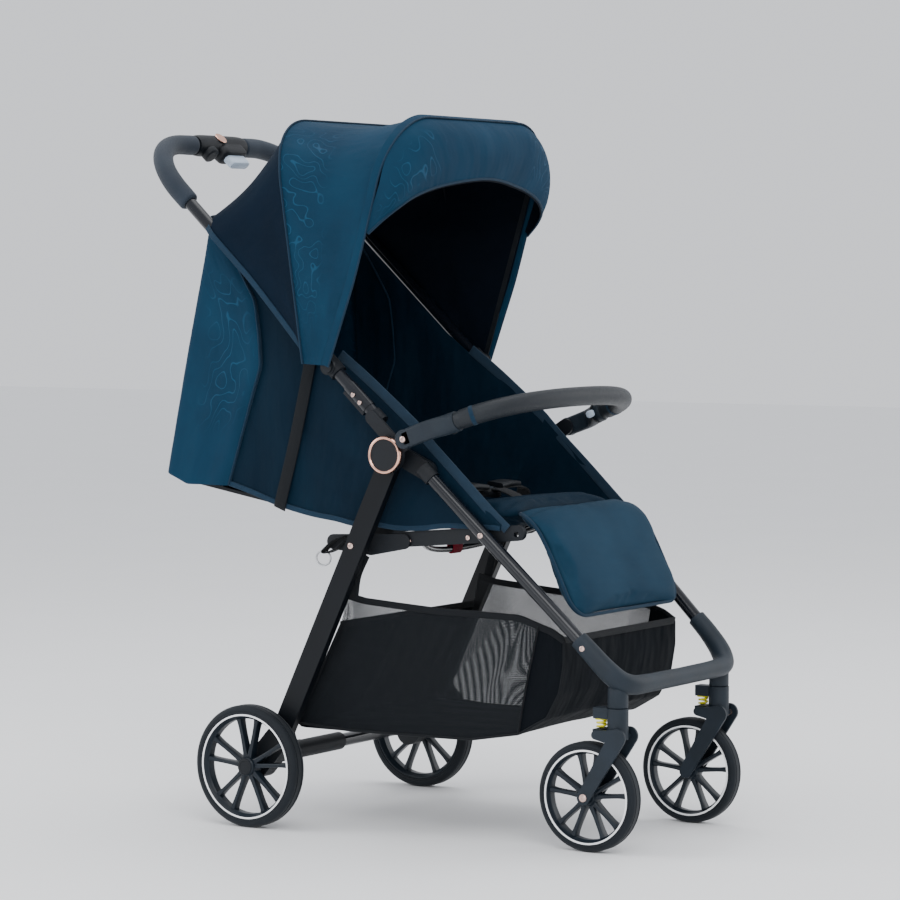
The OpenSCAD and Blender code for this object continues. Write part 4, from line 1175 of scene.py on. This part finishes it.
# Line of a U bar in a plane: up one side, round the corner, across, and back, from a start beyond the corner
def uLine(half, start, reach, bend, count):
    a = np.linspace(0, np.pi / 2, 25)
    left = np.vstack([[[-half, start]], np.column_stack([-half + bend - bend * np.cos(a),
                                                         reach - bend + bend * np.sin(a)])])
    return evenPath(np.vstack([left, left[::-1] * [-1, 1]]), count)


# Line of the bar in its plane: half of a rounded oval, |x / half|^bend + |(run - start) / (reach - start)|^bend = 1
def ovalLine(half, start, reach, bend, count):
    a = np.linspace(0, np.pi / 2, 60)
    power = 2 / bend
    left = np.column_stack([-half * np.cos(a) ** power, start + (reach - start) * np.sin(a) ** power])
    return evenPath(np.vstack([left, left[::-1] * [-1, 1]]), count)


line = ovalLine(bumper["x"], bumper["start"], bumper["reach"], bumper["bend"], 181)
barPath = onBumper(line[:, 0], line[:, 1])
normal = onBumper(0, 0, 1) - onBumper(0, 0, 0)
run = runLength(barPath)
share = np.minimum(run, run[-1] - run)
swellEnds = 1 + 0.0 * share
swellEnds[share < 0.006] = 0.93
sweepPiece("bumperLeather", barPath, circleProfile(0.0148, 40, 0.94), "leather", "bumper_bar",
           up=normal,
           scale=np.stack([swellEnds, swellEnds], 1), hides=["bumper_bar"], sharp=50)
for k, word in ((9, "left"), (-10, "right")):  # the seam where the sleeve begins
    sweepPiece(f"sleeveSeam.{word}", np.array([barPath[k - 1], barPath[k], barPath[k + 1]]), circleProfile(0.01515,
            40, 0.945),
               "pipingCloth", "bumper_bar", up=normal)


# Stitches: short thick threads laid end to end on a line
def stitches(name, path, radius, pitch, finish, body, up):
    path = np.asarray(path, float)
    total = runLength(path)[-1]
    count = max(2, int(total / pitch))
    fine = evenPath(path, count * 6 + 1)
    parts = []
    for k in range(count):
        piece = fine[6 * k:6 * k + 5]
        swellAt = np.array([0.55, 1, 1, 1, 0.55])
        p, f, c = sweep(piece, circleProfile(radius, 6), up, np.stack([swellAt, swellAt], 1))
        parts.append((p, cutFans(f), c))
    points, faces, coords = joined(parts)
    return putPiece(name, points, faces, finish, body, coords, (), 60)


inner = ovalLine(bumper["x"] - 0.0112, bumper["start"] + 0.012, bumper["reach"] - 0.0112, bumper["bend"], 161)
stitches("bumperStitches", onBumper(inner[:, 0], inner[:, 1], -0.0092), 0.0006, 0.0062, "thread", "bumper_bar",
         normal)


# The flat arm from its pivot, swelling to the socket round the bar's end: rounded sections along its run
def armSections(sign):
    run = np.array([0.000, 0.010, 0.024, 0.036, 0.048, 0.058, 0.066, 0.072, 0.077, 0.0782])
    x = np.array([0.2290, 0.2290, 0.2290, 0.2282, 0.2215, 0.2130, 0.2072, 0.2055, 0.2050, 0.2050])
    wide = np.array([0.0128, 0.0128, 0.0130, 0.0140, 0.0180, 0.0240, 0.0290, 0.0305, 0.0310, 0.0290])
    high = np.array([0.0272, 0.0276, 0.0278, 0.0280, 0.0284, 0.0290, 0.0296, 0.0300, 0.0300, 0.0284])
    corner = np.array([0.42, 0.40, 0.38, 0.38, 0.40, 0.46, 0.48, 0.49, 0.49, 0.49])
    fine = np.linspace(0, run[-1], 34)
    w, h, c, cx = (np.interp(fine, run, q) for q in (wide, high, corner, x))
    rows = []
    for k in range(len(fine)):
        loop = boxProfile(w[k], h[k], min(w[k], h[k]) * c[k], 6)
        rows.append(onBumper(sign * cx[k] + loop[:, 0], fine[k], loop[:, 1]))
    rows = np.array(rows)
    m = rows.shape[1]
    faces = [list(q) for q in gridFaces(len(rows), m, False, True)]
    faces += cutFans([list(range(m))[::-1], list(range(m * (len(rows) - 1), m * len(rows)))])
    return rows.reshape(-1, 3), faces


for word, sign in sides.items():
    points, faces = armSections(sign)
    boss = spin([(0.0001, -0.0064), (0.0128, -0.0064), (0.0138, -0.0054), (0.0138, 0.0054), (0.0128, 0.0064),
                 (0.0001, 0.0064)],
                (sign * 0.2290, *bumper["pivot"]), sign, 48)
    shape = joined([(points, faces), boss])
    putPiece(f"bumperArm.{word}", shape[0], shape[1], "bracketBlue", "bumper_arms",
             None, ["bumper_arms"] if sign < 0 else (), 40)
    band = onBumper(sign * 0.2050, np.array([0.0652, 0.0668, 0.0684]))
    sweepPiece(f"armBand.{word}", band, circleProfile(0.0157, 40, 0.985), "plasticDark", "bumper_arms",
               up=normal)
    button = onBumper(sign * (0.205 - 0.0155), np.array([0.058, 0.0605, 0.0645, 0.0685, 0.071]))
    sweepPiece(f"bumperButton.{word}", button, boxProfile(0.0062, 0.011, 0.0028, 4), "leverGrey",
               f"bumper_button_{word}",
               up=normal, scale=np.array([[0.6, 0.6], [1, 0.95], [1, 1], [1, 0.95], [0.6, 0.6]]),
               hides=[f"bumper_button_{word}"])
print("bumper made")

# ---- hinge covers, badge and rivets ----

hubAt = (-0.052, 0.553)
for word, sign in sides.items():
    centre = (sign * 0.2215, *hubAt)
    spinPiece(f"badgeRing.{word}", [(0.0228, 0.0000), (0.0262, 0.0000), (0.0274, 0.0018), (0.0274, 0.0056), (0.0262,
            0.0074),
                                    (0.0244, 0.0078), (0.0230, 0.0068), (0.0226,
                                            0.0052)], centre, sign, "roseGold", "frame",
              ["badge_rings"] if sign < 0 else (), 96, 40)
    spinPiece(f"badgeDisc.{word}", [(0.0001, 0.0), (0.0227, 0.0), (0.0227, 0.0050), (0.0200, 0.0056), (0.0140, 0.0058),
                                    (0.0136, 0.0054), (0.0130, 0.0054), (0.0126, 0.0058), (0.0001,
                                            0.0060)], centre, sign,
              "plasticDark", "frame", (), 96, 25)
    rivet(f"bumperRivet.{word}", (sign * 0.2354, *bumper["pivot"]), 0.0046, "rivetSteel", "bumper_arms",
          sign)
tubeStart = np.array(hubAt) + 0.018 * np.array([math.cos(math.radians(133)), math.sin(math.radians(133))])
tubeAhead = np.array([math.cos(math.radians(43)), math.sin(math.radians(43))])
legFoot = np.array([-0.361, 0.283])
legAhead = unit(legFoot - tubeStart)
legRun = float(np.linalg.norm(legFoot - tubeStart))


def alongTube(s):
    return tuple(tubeStart + tubeAhead * s)


def alongLeg(s):
    return tuple(tubeStart + legAhead * s)


def legAcross(s):
    return 0.200 - 0.029 * s / legRun


for word, sign in sides.items():
    for k, s in enumerate((0.088, 0.104)):
        rivet(f"latchRivet.{word}.{k}", (sign * 0.2118, *alongTube(s)), 0.0034, "rivetSteel", "upper_frame",
              sign)
    rivet(f"legRivet.{word}", (sign * (legAcross(0.18) + 0.0090), *alongLeg(0.180)), 0.0042, "rivetSteel", "frame",
          sign, ["frame_rivets"] if sign < 0 else ())
    rivet(f"sleeveRivet.{word}", (sign * (legAcross(legRun - 0.010) + 0.0122), *alongLeg(legRun - 0.010)), 0.0042,
          "rivetSteel",
          "frame", sign)
    rivet(f"linkRivet.{word}", (sign * 0.2094, 0.018, 0.419), 0.0046, "rivetSteel", "rear_frame", sign)
    rivet(f"forkRivet.{word}", (sign * 0.1655, -0.401, 0.166), 0.0050, "rivetSteel", f"caster_{word}",
          sign)
    rivet(f"forkAxle.{word}", (sign * 0.1694, -0.347, 0.078), 0.0058, "rivetSteel", f"fork_{word}", sign)
    for place, who in (((-0.060, 0.427), "a"), ((-0.160, 0.436), "b"), ((0.030, 0.424), "c")):
        rivet(f"railRivet.{word}.{who}", (sign * (0.1740 if who != "c" else 0.1780), *place), 0.0036, "rivetSteel",
              "frame" if who != "c" else "side_links", sign)

# ---- front bracket: sleeve, bend and cross bar as one swept shape, with a stem over each caster ----

sleeve = [(-legAcross(legRun - 0.024), *alongLeg(legRun - 0.024)), (-legAcross(legRun), *alongLeg(legRun)),
          (-0.1665, -0.381, 0.262), (-0.1560, -0.396, 0.246), (-0.1380, -0.4055, 0.2385), (-0.1050, -0.4085, 0.2365),
          (0, -0.4090, 0.2360)]
half = smoothPath(sleeve, 61)
whole = np.vstack([half, (half * [-1, 1, 1])[::-1][1:]])
share = np.abs(np.linspace(-1, 1, len(whole)))
thick = np.interp(share, [0, 0.35, 0.60, 0.72, 0.86, 1], [0.0126, 0.0128, 0.0138, 0.0146, 0.0134, 0.0126])
bracket = sweep(whole, circleProfile(1.0, 40), up=(0, -0.7, 0.7), scale=np.stack([thick, thick * 1.06], 1))
stems = [spin([(0.0062, 0.0), (0.0135, 0.0), (0.0145, 0.0012), (0.0145, 0.026), (0.0120, 0.034), (0.0001, 0.036),
               (0.0001, 0.001)],
              (0, 0, 0), 1, 64) for _ in range(2)]
turned = []
for (p, f), sign in zip(stems, (-1, 1)):
    p = np.stack([p[:, 2] + sign * 0.150, p[:, 1] - 0.392, p[:, 0] + 0.2062], -1)
    turned.append((p, f))
shape = joined([(bracket[0], cutFans(bracket[1]))] + turned)
putPiece("frontBracket", shape[0], shape[1], "bracketBlue", "frame", None, ["front_bracket"], 45)
for word, sign in sides.items():
    collar = np.array([[sign * legAcross(legRun - 0.026), *alongLeg(legRun - 0.026)],
                       [sign * legAcross(legRun - 0.018), *alongLeg(legRun - 0.018)]])
    sweepPiece(f"sleeveCollar.{word}", evenPath(collar, 3), circleProfile(0.0132, 40), "bracketBlue", "frame",
               up=(sign, 0, 0))

# ---- handle ----


def onHandle(x, run, height=0.0):
    p = np.broadcast_arrays(np.asarray(x, float), np.asarray(run, float), np.asarray(height, float))
    return np.stack([p[0], tubeStart[0] + p[1] * tubeAhead[0] - p[2] * tubeAhead[1],
                     tubeStart[1] + p[1] * tubeAhead[1] + p[2] * tubeAhead[0]], -1)


handleUp = onHandle(0, 0, 1) - onHandle(0, 0, 0)
line = uLine(0.200, 0.513, 0.646, 0.110, 241)
path = onHandle(line[:, 0], line[:, 1])
for word, sign in sides.items():
    part = path[path[:, 0] * sign > 0.0602]
    run = runLength(part)
    share = np.minimum(run, run[-1] - run)
    size = 0.0150 - 0.0022 * np.exp(-share / 0.0012) + 0.0002 * np.sin(run * 60)
    sweepPiece(f"foamGrip.{word}", part, circleProfile(1.0, 36), "foamGrip", "upper_frame", up=handleUp,
               scale=np.stack([size, size], 1), hides=["handle_grips"] if sign < 0 else (), sharp=60)
# the control box: a rounded sleeve round the bar with a flat-topped pod below it
boxLine = onHandle(np.linspace(-0.0596, 0.0596, 31), 0.646, 0.0)
share = np.abs(np.linspace(-1, 1, 31))
size = 0.0168 - 0.0018 * share ** 8
sleevePart = sweep(boxLine, circleProfile(1.0, 40), handleUp, np.stack([size, size * 1.0], 1))
podLoop = boxProfile(0.062, 0.028, 0.010, 6)
podRows = []
for s, k in ((0.0, 0.92), (-0.004, 1.0), (-0.018, 1.0), (-0.0235, 0.97), (-0.0262, 0.90), (-0.0275, 0.80)):
    podRows.append(onHandle(0.016 + podLoop[:, 0] * k, 0.646 + s, podLoop[:, 1] * k))
podRows = np.array(podRows)
m = podRows.shape[1]
podFaces = [list(q) for q in gridFaces(len(podRows), m, False, True)] + cutFans(
    [list(range(m))[::-1], list(range(m * (len(podRows) - 1), m * len(podRows)))])
shape = joined([(sleevePart[0], cutFans(sleevePart[1])), (podRows.reshape(-1, 3), podFaces)])
putPiece("handleBox", shape[0], shape[1], "plasticDark", "upper_frame", None, ["handle_box"], 40)


# A rounded block that pokes out along the tube direction: outline across and above, sections along
def podBlock(name, centreX, width, height, corner, runs, shrink, finish, body, hides):
    loop = boxProfile(width, height, corner, 6)
    rows = np.array([onHandle(centreX + loop[:, 0] * k, 0.646 + s, loop[:, 1] * k) for s, k in zip(runs, shrink)])
    count = rows.shape[1]
    faces = [list(q) for q in gridFaces(len(rows), count, False, True)] + cutFans(
        [list(range(count))[::-1], list(range(count * (len(rows) - 1), count * len(rows)))])
    return putPiece(name, rows.reshape(-1, 3), faces, finish, body, None, hides, 45)


podBlock("squeezeLever", 0.016, 0.0468, 0.0135, 0.0062, (-0.0262, -0.0270, -0.0400, -0.0432, -0.0440), (0.96, 1, 1,
        0.95, 0.86),
         "leverGrey", "squeeze_lever", ["squeeze_lever"])
podBlock("thumbButton", -0.036, 0.0255, 0.0255, 0.0126, (-0.0140, -0.0150, -0.0225, -0.0238, -0.0240), (1, 1, 1,
        0.90, 0.60),
         "plasticDark", "thumb_button", ["thumb_button"])
bossPiece("boxBadge", [(0.0001, 0.0009), (0.0096, 0.0009), (0.0104, 0.0004), (0.0104, -0.0006), (0.0001, -0.0006)], 43,
          tuple(onHandle(-0.006, 0.646, 0.0172)), "roseGold", "upper_frame")
print("handle made")

# ---- springs, spring cups, carry loops, rings and pull strap ----

for word, sign in sides.items():
    turnsUp = np.linspace(0, 1, 120)
    a = turnsUp * 2 * np.pi * 2.4
    coil = np.stack([sign * 0.150 + 0.0062 * np.cos(a), -0.366 + 0.0062 * np.sin(a), 0.1768 + 0.0124 * turnsUp], -1)
    sweepPiece(f"spring.{word}", coil, circleProfile(0.0016, 10), "springYellow", f"caster_{word}",
               hides=[f"spring_{word}"])
    cups = [spin([(0.0001, -0.0008), (0.0092, -0.0008), (0.0094, 0.0002), (0.0090, 0.0010), (0.0001, 0.0010)], (0,
            0, 0), 1, 40)]
    p = np.stack([cups[0][0][:, 2] + sign * 0.150, cups[0][0][:, 1] - 0.366, cups[0][0][:, 0] + 0.1892], -1)
    putPiece(f"springCup.{word}", p, cups[0][1], "springYellow", f"caster_{word}", None, (), 40)
    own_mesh(pieces[f"spring.{word}"], f"suspension_{word}", axis=(0, 0, 1), anchor=(sign * 0.150, -0.366, 0.190),
              keep=0.55)
    loop = smoothPath([(sign * 0.1805, 0.046, 0.4300), (sign * 0.1812, 0.062, 0.4245), (sign * 0.1815, 0.078, 0.4120),
                       (sign * 0.1815, 0.083, 0.4060), (sign * 0.1812, 0.076, 0.4050), (sign * 0.1808, 0.060, 0.4120),
                       (sign * 0.1800, 0.045, 0.4230)], 60)
    sweepPiece(f"carryLoop.{word}", loop, boxProfile(0.0018, 0.018, 0.0008, 3), "webbing", "side_links",
               up=(sign, 0, 0.0), hides=["carry_loops"] if sign < 0 else ())
    a = np.linspace(0, 2 * np.pi, 49)[:-1]
    ring = np.stack([sign * 0.1812 + 0 * a, 0.0850 + 0.0125 * np.cos(a), 0.3965 + 0.0105 * np.sin(a)], -1)
    sweepPiece(f"dRing.{word}", ring, circleProfile(0.0014, 12), "steel", "side_links", up=(1, 0, 0),
               ring=True)
strapTop = np.array([-0.082, 0.432]) + 0.062 * np.array([math.cos(math.radians(-28)), math.sin(math.radians(-28))])
strap("pullStrap", [(0, strapTop[0] + 0.004, strapTop[1] + 0.046), (0, strapTop[0] - 0.003, strapTop[1] + 0.022),
                    (0, strapTop[0] - 0.0055, strapTop[1] + 0.002), (0, strapTop[0] - 0.001, strapTop[1] - 0.0062),
                    (0, strapTop[0] + 0.0055, strapTop[1] - 0.001), (0, strapTop[0] + 0.004, strapTop[1] + 0.012)],
      0.026, 0.0016, (1, 0, 0), "strapRed", "frame", ["pull_strap"])
print("small parts made")

# ---- finishes of the parts kept as they are ----

keptFinish = {"frameBlack": ["front_legs", "handle_tube", "latch_sliders", "under_seat_bar", "rear_axle_tube"],
              "legBlack": ["rear_legs"],
              "plasticDark": ["hub_brackets", "hub_covers", "seat_rails", "hub_plates", "hood_clamps",
                              "hood_hinge_discs", "front_bow", "mid_bow", "backrest_board", "rear_brackets",
                              "brake_pedal", "side_links"],
              "bracketBlue": ["caster_housing_left", "caster_housing_right", "fork_left", "fork_right"],
              "steel": ["backrest_pivots"]}
for finish, names in keptFinish.items():
    for name in names:
        node = cadNodes[name]
        node.data.materials.clear()
        node.data.materials.append(finishes[finish])

# ---- floor ----

floorFinish = Finish("paleFloor", rough=0.55, specular=0.2)
spots = floorFinish.noise(floorFinish.place(), 3, 3)
floorFinish.set("colour", floorFinish.blend(spots, (0.90, 0.905, 0.91), (0.93, 0.935, 0.94)))
floorMesh = bpy.data.meshes.new("floor")
reach = 14
floorMesh.from_pydata([(-reach, -reach, 0), (reach, -reach, 0), (reach, reach, 0), (-reach, reach, 0)], [], [(0, 1,
        2, 3)])
floorMesh.materials.append(floorFinish.material)
floor = bpy.data.objects.new("floor", floorMesh)
scene.collection.objects.link(floor)

print("pieces made:", len(pieces))
